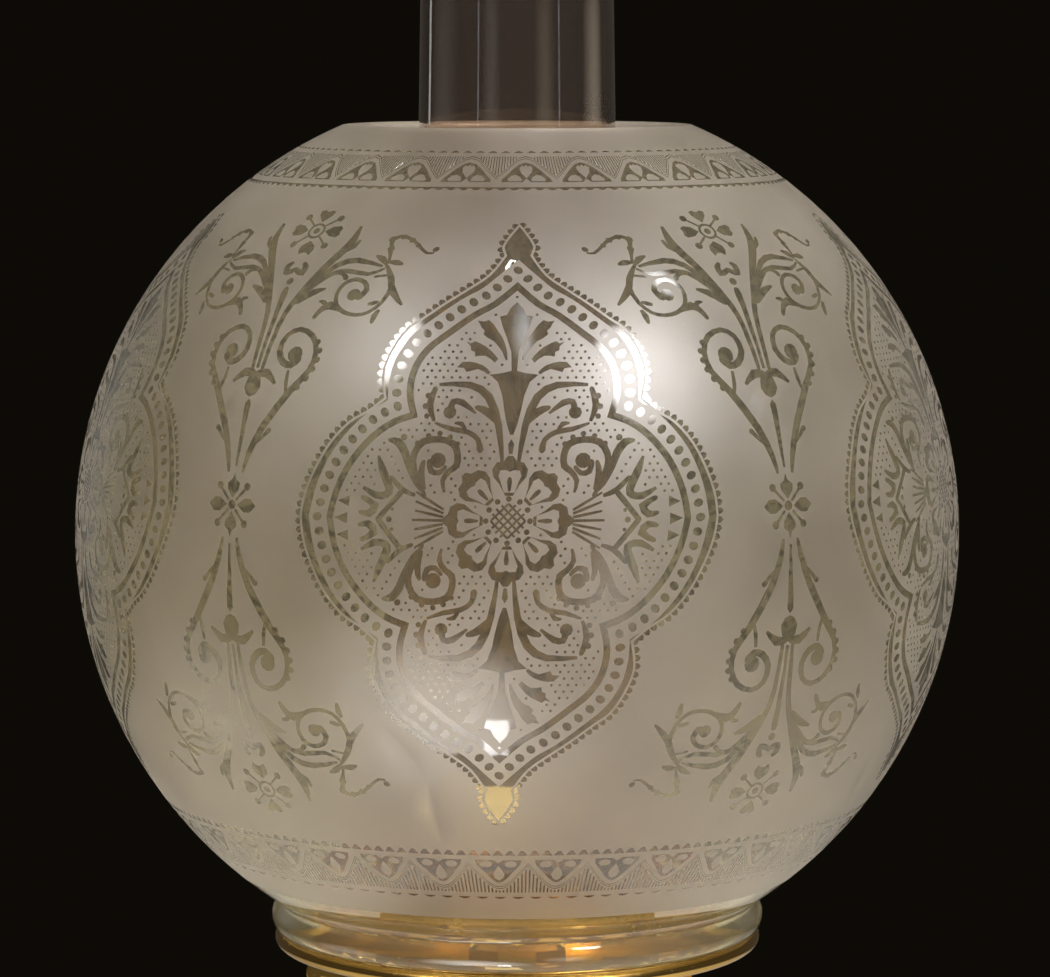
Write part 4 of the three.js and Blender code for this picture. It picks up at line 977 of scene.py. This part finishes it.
def buildGlobe():
    points, faces, looks = [], [], []
    topLat, bumpLat = ornament["topBand"]
    lowLat, toothLat = ornament["bottomBand"]
    copies, dotsPerArch = ornament["copies"], 5
    fifth = 360 / copies
    topPitch = 360 / ornament["topArches"] / dotsPerArch
    lowPitch = 360 / ornament["bottomArches"] / dotsPerArch
    topStart = ornament["topApex"] - dotsPerArch / 2 * topPitch
    lowStart = ornament["bottomApex"] - dotsPerArch / 2 * lowPitch

    def addCell(cell, repeats, turn):
        corners, triangles, clears = cell
        for number in range(repeats):
            base = len(points)
            points.extend(onBall(corner[0] + number * turn, corner[1]) for corner in corners)
            faces.extend(tuple(base + index for index in triangle) for triangle in triangles)
            looks.extend(1 if clear else 0 for clear in clears)

    # the middle band, one fifth of it
    seamTop = nearestPlace(topStart, topPitch, ornament["seamTop"])
    seamLow = nearestPlace(lowStart, lowPitch, ornament["seamBottom"])
    perTop = ornament["topArches"] * dotsPerArch // copies
    perLow = ornament["bottomArches"] * dotsPerArch // copies
    right = ornament["seam"]
    left = [(lon - fifth, lat) for lon, lat in right]
    border = (evenSpots(seamLow - fifth, lowPitch, perLow, toothLat) + right[::-1]
              + evenSpots(seamTop - fifth, topPitch, perTop, topLat)[::-1] + left)
    painted = placedOn(drawCartouche(), ornament["cartoucheLon"], ornament["cartoucheLat"], ornament["lean"])
    painted += placedOn(drawSpray(), ornament["sprayLon"], ornament["sprayLat"], 0)
    addCell(triangulate(border, painted, ornament["gridPitch"]), copies, fifth)
    print("middle band:", len(points), "points")

    for arches, apex, draw, low, high in (
            (ornament["topArches"], ornament["topApex"], drawTopArch, topLat, bumpLat),
            (ornament["bottomArches"], ornament["bottomApex"], drawBottomArch, lowLat, toothLat)):
        wide = 360 / arches
        painted = [(clear, [(apex + x, y) for x, y in patch]) for clear, patch in draw(wide)]
        lowSide, highSide = [evenSpots(apex - wide / 2, wide / dotsPerArch, dotsPerArch, lat) for lat in (low, high)]
        addCell(triangulate(lowSide + highSide[::-1], painted, 0), arches, wide)
    # a plain strip that joins the two rhythms
    border = (evenSpots(topStart, topPitch, perTop, bumpLat)
              + evenSpots(nearestPlace(lowStart, lowPitch, topStart), lowPitch, perLow,
                          ornament["joinLat"])[::-1])
    addCell(triangulate(border, [], 0), copies, fifth)

    # plain rings close the shade
    profile = shadeProfile(lowLat)
    around = perLow * copies
    base = len(points)
    for r, z, look in profile:
        for step in range(around):
            lon = radians(lowStart + step * lowPitch)
            points.append((r * sin(lon), -r * cos(lon), ball["centre"] + z))
    for ring in range(len(profile) - 1):
        look = max(profile[ring][2], profile[ring + 1][2])
        here = base + ring * around
        for step in range(around):
            after = (step + 1) % around
            faces.append((here + step, here + after, here + around + after, here + around + step))
            looks.append(look)

    mesh = bpy.data.meshes.new("etchedShade")
    mesh.from_pydata([(x * mm, y * mm, z * mm) for x, y, z in points], [], faces)
    for face, look in zip(mesh.polygons, looks):
        face.material_index = look
    piece = bpy.data.objects.new("etchedShade", mesh)
    bpy.context.scene.collection.objects.link(piece)
    for material in (etchedGlass, ornamentGlass, clearGlass):
        mesh.materials.append(material)
    activate(piece)
    bpy.ops.object.mode_set(mode="EDIT")
    weldPoints(0.003)
    bpy.ops.object.mode_set(mode="OBJECT")
    mesh.shade_smooth()
    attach(piece, "shade")
    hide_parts("globe_shade")
    print("shade:", len(mesh.polygons), "faces")


buildGlobe()


# the chimney, blown clear glass with a foot that stands in the holder

def buildChimney():
    values = {"foot": 31.75, "bulge": 6.25, "rise": 19, "height": 85, "top": 254, "topRadius": 24.6, "wall": 2.0,
              "neckSteps": 8, "lip": (20, 60, 90, 120, 160)}
    swell = [(0, 0), (0.55, 0.14), (0.94, 0.32), (1, 0.44), (0.82, 0.6), (0.3, 0.78)]
    base, glassLevel, wall = values["foot"], level["glass"], values["wall"]
    curve = [(base + share[0] * values["bulge"], values["rise"] + share[1] * values["height"]) for share in swell]
    curve += [(29.275, 96.9), (26.8, 118.2)]
    outside = [(base, glassLevel)] + [(r, glassLevel + z) for r, z in smoothLine(curve, 5)]
    neckLow, neckHigh = outside[-1], (values["topRadius"], glassLevel + values["top"])
    steps = values["neckSteps"]
    outside += [tuple(low + (high - low) * step / steps for low, high in zip(neckLow, neckHigh))
                for step in range(1, steps + 1)]
    inside = [(r - wall, z) for r, z in outside][::-1]
    # fire-polished lips at both ends
    half = wall / 2
    angles = [radians(angle) for angle in values["lip"]]
    topLip = [(neckHigh[0] - half + half * cos(a), neckHigh[1] - half + half * sin(a)) for a in angles]
    footLip = [(base - half - half * cos(a), glassLevel + half - half * sin(a)) for a in angles]
    outside[-1] = (outside[-1][0], outside[-1][1] - half)
    inside[0] = (inside[0][0], inside[0][1] - half)
    outside[0] = (base, glassLevel + half)
    inside[-1] = (base - wall, glassLevel + half)
    finish(spun("clearChimney", outside + topLip + inside + footLip, 128), "chimney", "chimney", chimneyGlass,
           "clear_glass", soften=0, smooth=60)


buildChimney()
print("chimney is ready")


# turned pieces of the foot, the body and the font

def buildFoot():
    values = {
        "skirt": [(80, 0), (80, 4), (72.6, 5.4), (72.0, 6.4)],
        "slope": [(72, 6.4), (70.4, 8.2), (68.8, 10.8), (57.6, 14.4), (44.8, 18.8), (33.6, 26.8), (28.8, 37.2)],
        "top": [(28.2, 38.6), (26.6, 39.8), (24, 40), (3.3, 40), (3.3, 35.6)],
        "hollow": [(0.25, 0.89), (0.31, 0.82), (0.38, 0.59), (0.54, 0.36), (0.8, 0.2), (0.875, 0.07), (0.95, 0)],
        "radius": 80, "height": 40,
    }
    under = scaled(values["hollow"], values["radius"], values["height"])
    turned("brassFoot", "foot", "base", values["skirt"] + smoothLine(values["slope"], 4) + values["top"]
           + smoothLine(under[:-1], 3) + under[-1:])


buildFoot()

knopProfile = [(3.3, 0)] + smoothLine(scaled([(0.8, 0), (0.9, 0.1), (1, 0.32), (0.97, 0.5), (0.72, 0.72)], 17, 12), 3)
knopProfile += smoothLine(scaled([(0.7, 0.82), (0.74, 0.9), (0.86, 1)], 17, 12), 2) + [(3.3, 12)]
turned("brassKnop", "knop", "base", knopProfile, level["knop"])

socketProfile = [(3.3, 0)] + smoothLine(scaled([(0, 0), (0.16, 0.12), (0.7, 0.42), (1, 0.72)], 22.5, 8.5, 22), 4)
socketProfile += [(44.5, 8.5), (42.3, 8.5), (42.3, 3.5), (3.3, 3.5)]
turned("brassSocket", "body_socket", "base", socketProfile, level["socket"])


def buildBody():
    values = {
        "swell": [(0.5, 0), (0.495, 0.05), (0.555, 0.16), (0.72, 0.3), (0.9, 0.46), (1, 0.65), (0.965, 0.82),
                  (0.85, 0.95)],
        "footRing": [(33, 3), (33, 0.8), (33.8, 0), (41, 0), (41.8, 0.9)],
        "neck": [(64.6, 168.6), (62.5, 170.6), (62, 172.4), (62, 182.6), (61.2, 183.8), (59.8, 184), (58.4, 183.8),
                 (57.5, 182.6), (57.5, 172.4)],
        "radius": 84, "height": 171, "wall": 4.5, "floor": 10, "bore": 3.3,
    }
    swell = smoothLine(scaled(values["swell"], values["radius"], values["height"]), 5)
    floor, bore = values["floor"], values["bore"]
    inside = [(r, z) for r, z in lineLeft(swell, values["wall"]) if z > floor + 1][::-1]
    low = inside[-1][0]
    profile = [(bore, 3)] + values["footRing"] + swell[1:] + values["neck"] + inside
    profile += [(low - 0.6, floor + 0.4), (low - 2.4, floor), (bore, floor)]
    turned("porcelainBody", "porcelain_body", "base", profile, level["body"], steps=128, material=porcelain,
           slotName="porcelain", soften=0, smooth=42)


buildBody()

mountShares = [(0.45, 0.2), (0.8, 0.28), (1, 0.36), (1, 0.5), (0.72, 0.62), (0.3, 0.74), (0.42, 0.84), (0.6, 0.9),
               (0.6, 1)]
mountProfile = [(55, -16), (57.2, -16), (57.2, 0.3), (62.3, 0.3), (62.3, -9), (63.98, -9)]
mountProfile += [(r, z - 9) for r, z in scaled(mountShares, 4.2, 18.5, 62.3)] + [(55, 9.5)]
turned("brassNeckMount", "neck_mount", "base", mountProfile, level["bodyTop"], soften=0.2)

spunWall = 1.2
bowlOut = smoothLine(scaled([(0, 0), (0.4, 0.005), (0.66, 0.02), (0.9, 0.12), (1, 0.32), (1, 1)], 54, 80), 4)
bowlProfile = [(max(r, 0), z) for r, z in bowlOut + [(52.8, 80)] + lineLeft(bowlOut, spunWall)[-2::-1]]
turned("fontBowl", "font_bowl", "font", bowlProfile, level["bowl"], material=fontBrass, slotName="font_brass",
       soften=0)

shoulderTop = smoothLine([(58, 1.5), (55.1, 7.35), (42.9, 14.76), (26.7, 18.66), (21, 21)], 5)
shoulderProfile = [(51.6, 0), (64.6, 0), (65, 0.4), (65, 1.1), (64.6, 1.5), (58.6, 1.5)] + shoulderTop
shoulderProfile += [(r, max(z, 1.6)) for r, z in lineLeft(shoulderTop, spunWall)[::-1] if r < 56] + [(51.6, 1.5)]
turned("fontShoulder", "font_shoulder", "font", shoulderProfile, level["flange"], material=fontBrass,
       slotName="font_brass", soften=0)

collarShares = [(0.2, 0), (0.85, 0.06), (1, 0.14), (1, 0.3), (0.55, 0.45), (0.62, 0.54), (1, 0.6), (1, 0.86),
                (0.7, 1)]
collarProfile = [(22, 0)] + scaled(collarShares, 4, 11, 22) + [(22, 11)]
turned("fontCollar", "font_collar", "font", collarProfile, level["fontCollar"])
print("foot, body and font are ready")


# the burner: base, basket, glands, winders and lever

baseProfile = [(0, 0), (20.2, 0), (20.2, -8), (21.7, -8), (21.7, 0), (27, 0), (27, 2), (26.2, 2.6), (24.4, 3.4),
               (24, 4), (24, 8), (22.5, 8), (22.5, 2), (0, 2)]
burnerBase = spun("burnerBase", [(r, z + level["burner"]) for r, z in baseProfile], 96)
combine(burnerBase, [boxBlock("tubeSlot", (-14.0, side * wickAside - 2.8, 270), (14.0, side * wickAside + 2.8, 300))
                     for side in (1, -1)])
finish(burnerBase, "burner_base", "burner")

winderAside = 14.55
pinHole = 1.3


def buildBasket():
    values = {"low": 24, "flare": 10.6, "height": 38, "wall": 0.8, "holes": 12, "hole": (4.4, 12, 317.1),
              "glandHole": 3.3, "pinAt": -31.3, "earHalf": 0.6, "earAside": 2.4, "slotHalf": 1.8, "tall": 3.2}
    outside = smoothLine([(values["low"], 0), (28.9, 15), (32.4, 27),
                          (values["low"] + values["flare"], values["height"])], 5)
    profile = outside + [(r - values["wall"], z) for r, z in outside][::-1]
    piece = spun("burnerBasket", [(r, z + level["basket"]) for r, z in profile], 112)
    low, high, ear = level["lever"] - values["tall"], level["lever"] + values["tall"], values["earHalf"]
    combine(piece, [boxBlock("ear", (-34.6, side * values["earAside"] - ear, low),
                             (-28.6, side * values["earAside"] + ear, high)) for side in (1, -1)], "UNION")
    hole = outlineBlock("airHole", ovalOutline(*values["hole"]), -40, -24)
    cutters = [roundAxis(hole, values["holes"], 180 / values["holes"])]
    cutters += [rodAlong("glandHole", "X", (28, side * winderAside, level["winder"]), values["glandHole"], 22, 40)
                for side in (1, -1)]
    cutters.append(boxBlock("leverSlot", (-35.6, -values["slotHalf"], low), (-17, values["slotHalf"], high)))
    cutters.append(rodAlong("pinHole", "Y", (values["pinAt"], 0, level["lever"]), pinHole, 12, 24))
    combine(piece, cutters)
    finish(piece, "burner_basket", "burner", soften=0)


buildBasket()


def alongX(piece, side):
    piece.rotation_euler = (0, pi / 2, 0)
    piece.location = (0, side * winderAside * mm, level["winder"] * mm)
    settle(piece)
    return piece


def buildWinder(side, where):
    values = {
        "gland": [(1.6, 22), (3, 22), (3, 28), (4.2, 28), (4.2, 31), (1.6, 31)],
        "knob": [(1.6, 39.5), (4, 39.5), (4, 42.5), (8.9, 42.5), (9.5, 43.1), (9.5, 45.9), (8.9, 46.5), (6.2, 46.5),
                 (5.4, 46.1), (2.6, 46.1), (2.0, 46.5), (1.6, 46.5)],
        "grooves": 18, "grooveAt": (9.85, 0, 44.5),
    }
    gland = spun("winderGland-" + where, values["gland"], 48)
    finish(alongX(gland, side), "winder_gland_" + where, "burner", soften=0.2)
    head = spun("winderKnob-" + where, values["knob"], 108)
    combine(head, [roundAxis(rodAlong("groove", "Z", values["grooveAt"], 1.0, 8, 20), values["grooves"])])
    finish(alongX(head, side), "winder_knob_" + where, where + "_winder", soften=0.12, angle=40)


buildWinder(-1, "front")
buildWinder(1, "back")


def buildLever():
    values = {"tip": -17, "pin": -31.3, "thumb": -52, "rise": 5, "thick": 1.6, "width": 3, "boss": 2.6,
              "thumbRadius": 3.4}
    high, half, wide = level["lever"], values["thick"] / 2, values["width"]
    line = [(values["tip"], high), (values["pin"], high), (values["thumb"], high + values["rise"])]
    outline = [(x, z + half) for x, z in line] + [(x, z - half) for x, z in line[::-1]]
    lever = outlineBlock("extinguisherLever", outline, -wide / 2, wide / 2)
    boss = rodAlong("boss", "Y", (values["pin"], 0, high), values["boss"], wide, 40)
    thumb = rodAlong("thumb", "Y", (values["thumb"], 0, high + values["rise"]), values["thumbRadius"], wide, 48)
    combine(lever, [boss, thumb], "UNION")
    combine(lever, [rodAlong("pinHole", "Y", (values["pin"], 0, high), pinHole, 8, 28)])
    finish(lever, "extinguisher_lever", "lever", soften=0.35, angle=40)


buildLever()
print("burner is ready")


# the gallery: plate, bead, pierced crown, chimney holder and dome

def buildPlate():
    values = {"vents": 20, "ventAt": 43.75, "vent": (5, 4.2, 1), "profile": [
        (27, 0), (34.9, 0), (34.9, -8), (35.9, -8), (35.9, 0), (51.6, 0), (51.6, 1), (27, 1)]}
    plate = spun("galleryPlate", [(r, z + level["plate"]) for r, z in values["profile"]], 120)
    deselectAll()
    bpy.ops.mesh.primitive_cylinder_add(vertices=32, radius=mm, depth=6 * mm,
                                        location=(values["ventAt"] * mm, 0, level["plate"] * mm))
    vent = takeName("vent")
    vent.scale = values["vent"]
    settle(vent)
    combine(plate, [roundAxis(vent, values["vents"])])
    finish(plate, "gallery_plate", "gallery", soften=0.1)


def buildBead():
    bead = [(51.9, -1.6), (58.4, -1.6), (59.1, -2.0), (59.5, -2.8), (60.1, -3.6)]
    bead += [(61.4 + 2 * cos(radians(angle)), -2 + 2 * sin(radians(angle))) for angle in range(-100, 91, 10)]
    bead += [(52.3, 0), (51.9, -0.3)]
    finish(spun("galleryBead", [(r, z + level["seat"]) for r, z in bead], 160), "gallery_ring", "gallery", soften=0)


def buildCrown():
    values = {
        "outer": 53, "wall": 0.8, "height": 15, "copies": 20, "oval": (11.6, 5, 8.8),
        "dart": ((5.6, 2.6, 2.2), [(-0.5, 1), (0, 0), (0.5, 1)]),
        "bell": ((7.4, 1.8, 3.4), [(-0.5, 0), (0.5, 0), (0.47, 0.6), (0.42, 1), (0.26, 0.62), (0, 0.45), (-0.26, 0.62),
                                   (-0.42, 1), (-0.47, 0.6)]),
    }
    low, outer, copies = level["glass"], values["outer"], values["copies"]
    inner = outer - values["wall"]
    top = low + values["height"]
    band = [(inner, low), (outer, low), (outer, top - 0.2), (outer - 0.2, top), (inner, top)]
    crown = spun("galleryCrown", band, 160)
    across, up, middle = values["oval"]
    cutters = [roundAxis(outlineBlock("oval", ovalOutline(across, up, low + middle, 24), -60, -48), copies)]
    for name, firstTurn in (("dart", 0), ("bell", 180 / copies)):
        (wide, foot, tall), shape = values[name]
        outline = [(x * wide, low + foot + y * tall) for x, y in shape]
        cutters.append(roundAxis(outlineBlock(name, outline, -60, -48), copies, firstTurn))
    combine(crown, cutters)
    finish(crown, "gallery_crown", "gallery", soften=0.2)


def buildHolder():
    values = {"fingers": [(33, 0), (33, 10.33), (33.5, 12.2), (34.4, 15.5)], "wall": 0.95, "slots": 8}
    fingers, low = values["fingers"], level["glass"]
    profile = fingers + [(r - values["wall"], z) for r, z in fingers[::-1]]
    holder = spun("chimneyHolder", [(r, z + low) for r, z in profile], 96)
    combine(holder, [roundAxis(boxBlock("fingerSlot", (25, -2, low + 4), (45, 2, low + 20)), values["slots"])])
    finish(holder, "chimney_holder", "gallery", soften=0.12)


def buildDome():
    values = {"radius": 29.15, "innerRadius": 28.35, "height": 18, "innerHeight": 17.2, "band": 3}
    radius, height, band, low = values["radius"], values["height"], values["band"], level["glass"]
    outside = [(radius, 0)] + [(radius * cos(radians(angle)), band + (height - band) * sin(radians(angle)))
                               for angle in range(0, 90, 9)] + [(0, height)]
    inside = [(max(r * values["innerRadius"] / radius, 0), z * values["innerHeight"] / height) for r, z in outside]
    dome = spun("burnerDome", [(r, z + low) for r, z in outside + inside[::-1]], 96)
    combine(dome, [boxBlock("flameSlot", (-14.5, side * wickAside - 2.5, low + 5),
                            (14.5, side * wickAside + 2.5, low + 25)) for side in (1, -1)])
    finish(dome, "burner_dome", "gallery", soften=0.1)


for buildPiece in (buildPlate, buildBead, buildCrown, buildHolder, buildDome):
    buildPiece()
print("gallery is ready")

# the carried-over solids that need no finer shape
for plainMaterial, names in (
        (steel, ("tie_rod", "lower_washer", "lower_nut", "upper_washer", "upper_nut", "winder_shaft_front",
                 "winder_shaft_back", "lever_pin")),
        (felt, ("cushion_washer",)), (cotton, ("wick_front", "wick_back")),
        (brass, ("wick_tube_front", "wick_tube_back", "extinguisher_sleeves"))):
    for name in names:
        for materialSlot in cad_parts[name].material_slots:
            materialSlot.material = plainMaterial


# camera, floor, world and lamps

def placeCamera():
    values = {"distance": 1.1316, "elevation": 6.66, "lens": 149.2, "sensor": 36, "right": 2.03, "up": 10.8}
    tilt = radians(values["elevation"])
    place = ballCentre + values["distance"] * Vector((0, -cos(tilt), sin(tilt)))
    aim = ballCentre + Vector((values["right"] * mm, 0, 0)) + values["up"] * mm * Vector((0, sin(tilt), cos(tilt)))
    bpy.ops.object.camera_add(location=place)
    camera = takeName("photoCamera")
    camera.rotation_euler = (aim - place).to_track_quat("-Z", "Y").to_euler()
    camera.data.lens = values["lens"]
    camera.data.sensor_width = values["sensor"]
    camera.data.clip_start = 0.01
    bpy.context.scene.camera = camera


def buildFloor():
    # a pale round floor whose colour is painted darker towards its rim, painted shade that fades it into the dark
    # behind the lamp
    values = {"radius": 1.25, "pale": (0.72, 0.70, 0.67, 1), "far": (0.02, 0.015, 0.013, 1), "fadeFrom": 0.85,
              "fadeTo": 1.22, "below": 0.0006}
    deselectAll()
    bpy.ops.mesh.primitive_circle_add(vertices=128, radius=values["radius"], fill_type="NGON",
                                      location=(0, 0, -values["below"]))
    floor = takeName("paleFloor")
    settle(floor)
    material, tree, shader = newMaterial("paleFloor", Roughness=0.85)
    place = addNode(tree, "ShaderNodeTexCoord").outputs["Object"]
    away = addNode(tree, "ShaderNodeVectorMath", operation="LENGTH", Vector=place).outputs["Value"]
    shade = blendColours(tree, remap(tree, away, values["fadeFrom"], values["fadeTo"]), values["pale"], values["far"])
    grain = remap(tree, noiseAt(tree, place, 60, 3), 0.3, 0.7, 0.96, 1.0)
    give(tree, shader, Base_Color=blendColours(tree, 1.0, shade, grain, "MULTIPLY"))
    floor.data.materials.append(material)


def buildWorld():
    # a soft room for the surfaces, a dimmer one for their reflections, and the dark that is seen behind the lamp
    room = [((1.0, 0.92, 0.78, 1), 0.15), ((1.0, 0.88, 0.72, 1), 0.06), ((0.0042, 0.0034, 0.0021, 1), 1.0)]
    world = bpy.data.worlds.new("studioWorld")
    bpy.context.scene.world = world
    world.use_nodes = True
    tree = world.node_tree
    tree.nodes.clear()
    paths = addNode(tree, "ShaderNodeLightPath").outputs
    soft, reflected, dark = [addNode(tree, "ShaderNodeBackground", Color=colour, Strength=strength).outputs[0]
                             for colour, strength in room]
    seen = mathNode(tree, "MAXIMUM", paths["Is Camera Ray"], paths["Is Transmission Ray"])
    inside = mixShaders(tree, paths["Is Glossy Ray"], soft, reflected)
    addNode(tree, "ShaderNodeOutputWorld", Surface=mixShaders(tree, seen, inside, dark))


ballCentre = Vector((0, 0, ball["centre"] * mm))
placeCamera()
buildFloor()
buildWorld()

# each lamp is turned about the ball from the camera's side and raised, in degrees; distance and size are in metres
lampColumns = ("name", "turn", "rise", "distance", "size", "glow", "tint")
lamps = [
    ("keyLeft", -42, 47, 1.25, (0.27, 0.44), 53, (1, 0.97, 0.965)),
    ("keyRight", 36, 42, 1.25, (0.37, 0.56), 90, (1, 0.97, 0.97)),
]
# these two light surfaces but don't show in reflections
sideLamps = [
    ("sideLeft", -105, 9, 1.4, (0.7, 0.7), 1.1, (1, 0.97, 0.9)),
    ("sideRight", 108, 12, 1.4, (0.7, 0.7), 2.2, (1, 0.97, 0.9)),
]
# cards that only show as reflections, on the shade alone or on the chimney alone
shadeCards = [
    ("lowCard", -20, -36, 0.6, (0.5, 0.46), 10, (1, 0.97, 0.92)),
    ("lowSpot", -6, -42, 0.6, (0.05, 0.1), 16, (1, 1, 1)),
    ("goldCard", -7.4, -56.6, 0.397, (0.07, 0.075), 10, (1, 0.72, 0.26)),
    ("upperSpot", 71, 59, 1.2, (0.14, 0.2), 26, (1, 1, 1)),
    ("veilCard", 22, -10, 1.2, (0.5, 0.8), 3.1, (1, 0.97, 0.92)),
    ("leftVeil", -85, -32, 0.68, (0.5, 0.5), 1.8, (1, 0.96, 0.9)),
    ("topStrip", 2.3, 54, 1.25, (0.11, 0.5), 8, (0.95, 0.97, 1)),
    ("underGlow", 0, -90, 0.4, (1.2, 1.2), 1.3, (1, 0.9, 0.74)),
    ("edgeLeftCard", -134, 4, 1.2, (0.9, 1.1), 0.3, (0.9, 0.96, 1)),
    ("edgeRightCard", 132, 6, 1.2, (0.8, 1.1), 0.2, (0.94, 0.95, 1)),
]
chimneyCards = [
    ("backLeftCard", -124, 2, 1.2, (0.09, 0.6), 2.4, (1, 0.98, 0.95)),
    ("farLeftCard", -94, 2, 1.2, (1.1, 0.6), 0.5, (1, 0.9, 0.8)),
    ("thinLeftCard", -46, 2, 1.2, (0.03, 0.6), 2.6, (0.85, 0.9, 1)),
    ("dimLeftCard", -30, 2, 1.2, (0.5, 0.6), 0.8, (1, 0.92, 0.82)),
    ("oliveCard", 32, 2, 1.2, (0.56, 0.6), 1.1, (1, 0.86, 0.6)),
    ("thinRightCard", 50, 2, 1.2, (0.03, 0.6), 3.0, (0.8, 0.84, 1)),
    ("rightCard", 100, 2, 1.2, (0.8, 0.6), 2.0, (1, 0.84, 0.64)),
]


def softFace(lamp):
    # the glow falls off towards the rim, so its reflection has no hard edge
    lamp.data.use_nodes = True
    tree = lamp.data.node_tree
    emission = next(node for node in tree.nodes if node.type == "EMISSION")
    place = addNode(tree, "ShaderNodeNewGeometry")
    offset = addNode(tree, "ShaderNodeVectorMath", operation="DISTANCE")
    feed(tree, offset.inputs[0], place.outputs["Parametric"])
    feed(tree, offset.inputs[1], (0.5, 0.5, 0))
    give(tree, emission, Strength=remap(tree, offset.outputs["Value"], 0.1, 0.5, 1, 0))


def placeLamp(row):
    values = dict(zip(lampColumns, row))
    turn, rise = radians(values["turn"]), radians(values["rise"])
    direction = Vector((sin(turn) * cos(rise), -cos(turn) * cos(rise), sin(rise)))
    bpy.ops.object.light_add(type="AREA", location=ballCentre + direction * values["distance"])
    lamp = bpy.context.object
    lamp.name = values["name"]
    lamp.rotation_euler = direction.to_track_quat("Z", "Y").to_euler()
    wide, tall = values["size"]
    broad = wide > 0.1
    lamp.data.shape = "ELLIPSE" if broad else "RECTANGLE"
    lamp.data.size, lamp.data.size_y = wide, tall
    lamp.data.energy = values["glow"] * pi * wide * tall * (pi / 4 if broad else 1)
    lamp.data.color = values["tint"]
    lamp.visible_camera = False
    lamp.visible_transmission = False
    if broad:
        softFace(lamp)
    return lamp


for row in lamps:
    placeLamp(row)
for row in sideLamps:
    placeLamp(row).visible_glossy = False
for collectionName, pieceName, cards in (
        ("shadeOnly", "etchedShade", shadeCards), ("chimneyOnly", "clearChimney", chimneyCards)):
    receivers = bpy.data.collections.new(collectionName)
    receivers.objects.link(bpy.data.objects[pieceName])
    for row in cards:
        card = placeLamp(row)
        card.visible_diffuse = False
        card.light_linking.receiver_collection = receivers
bpy.context.scene.view_settings.view_transform = "Standard"

print("scene is ready")
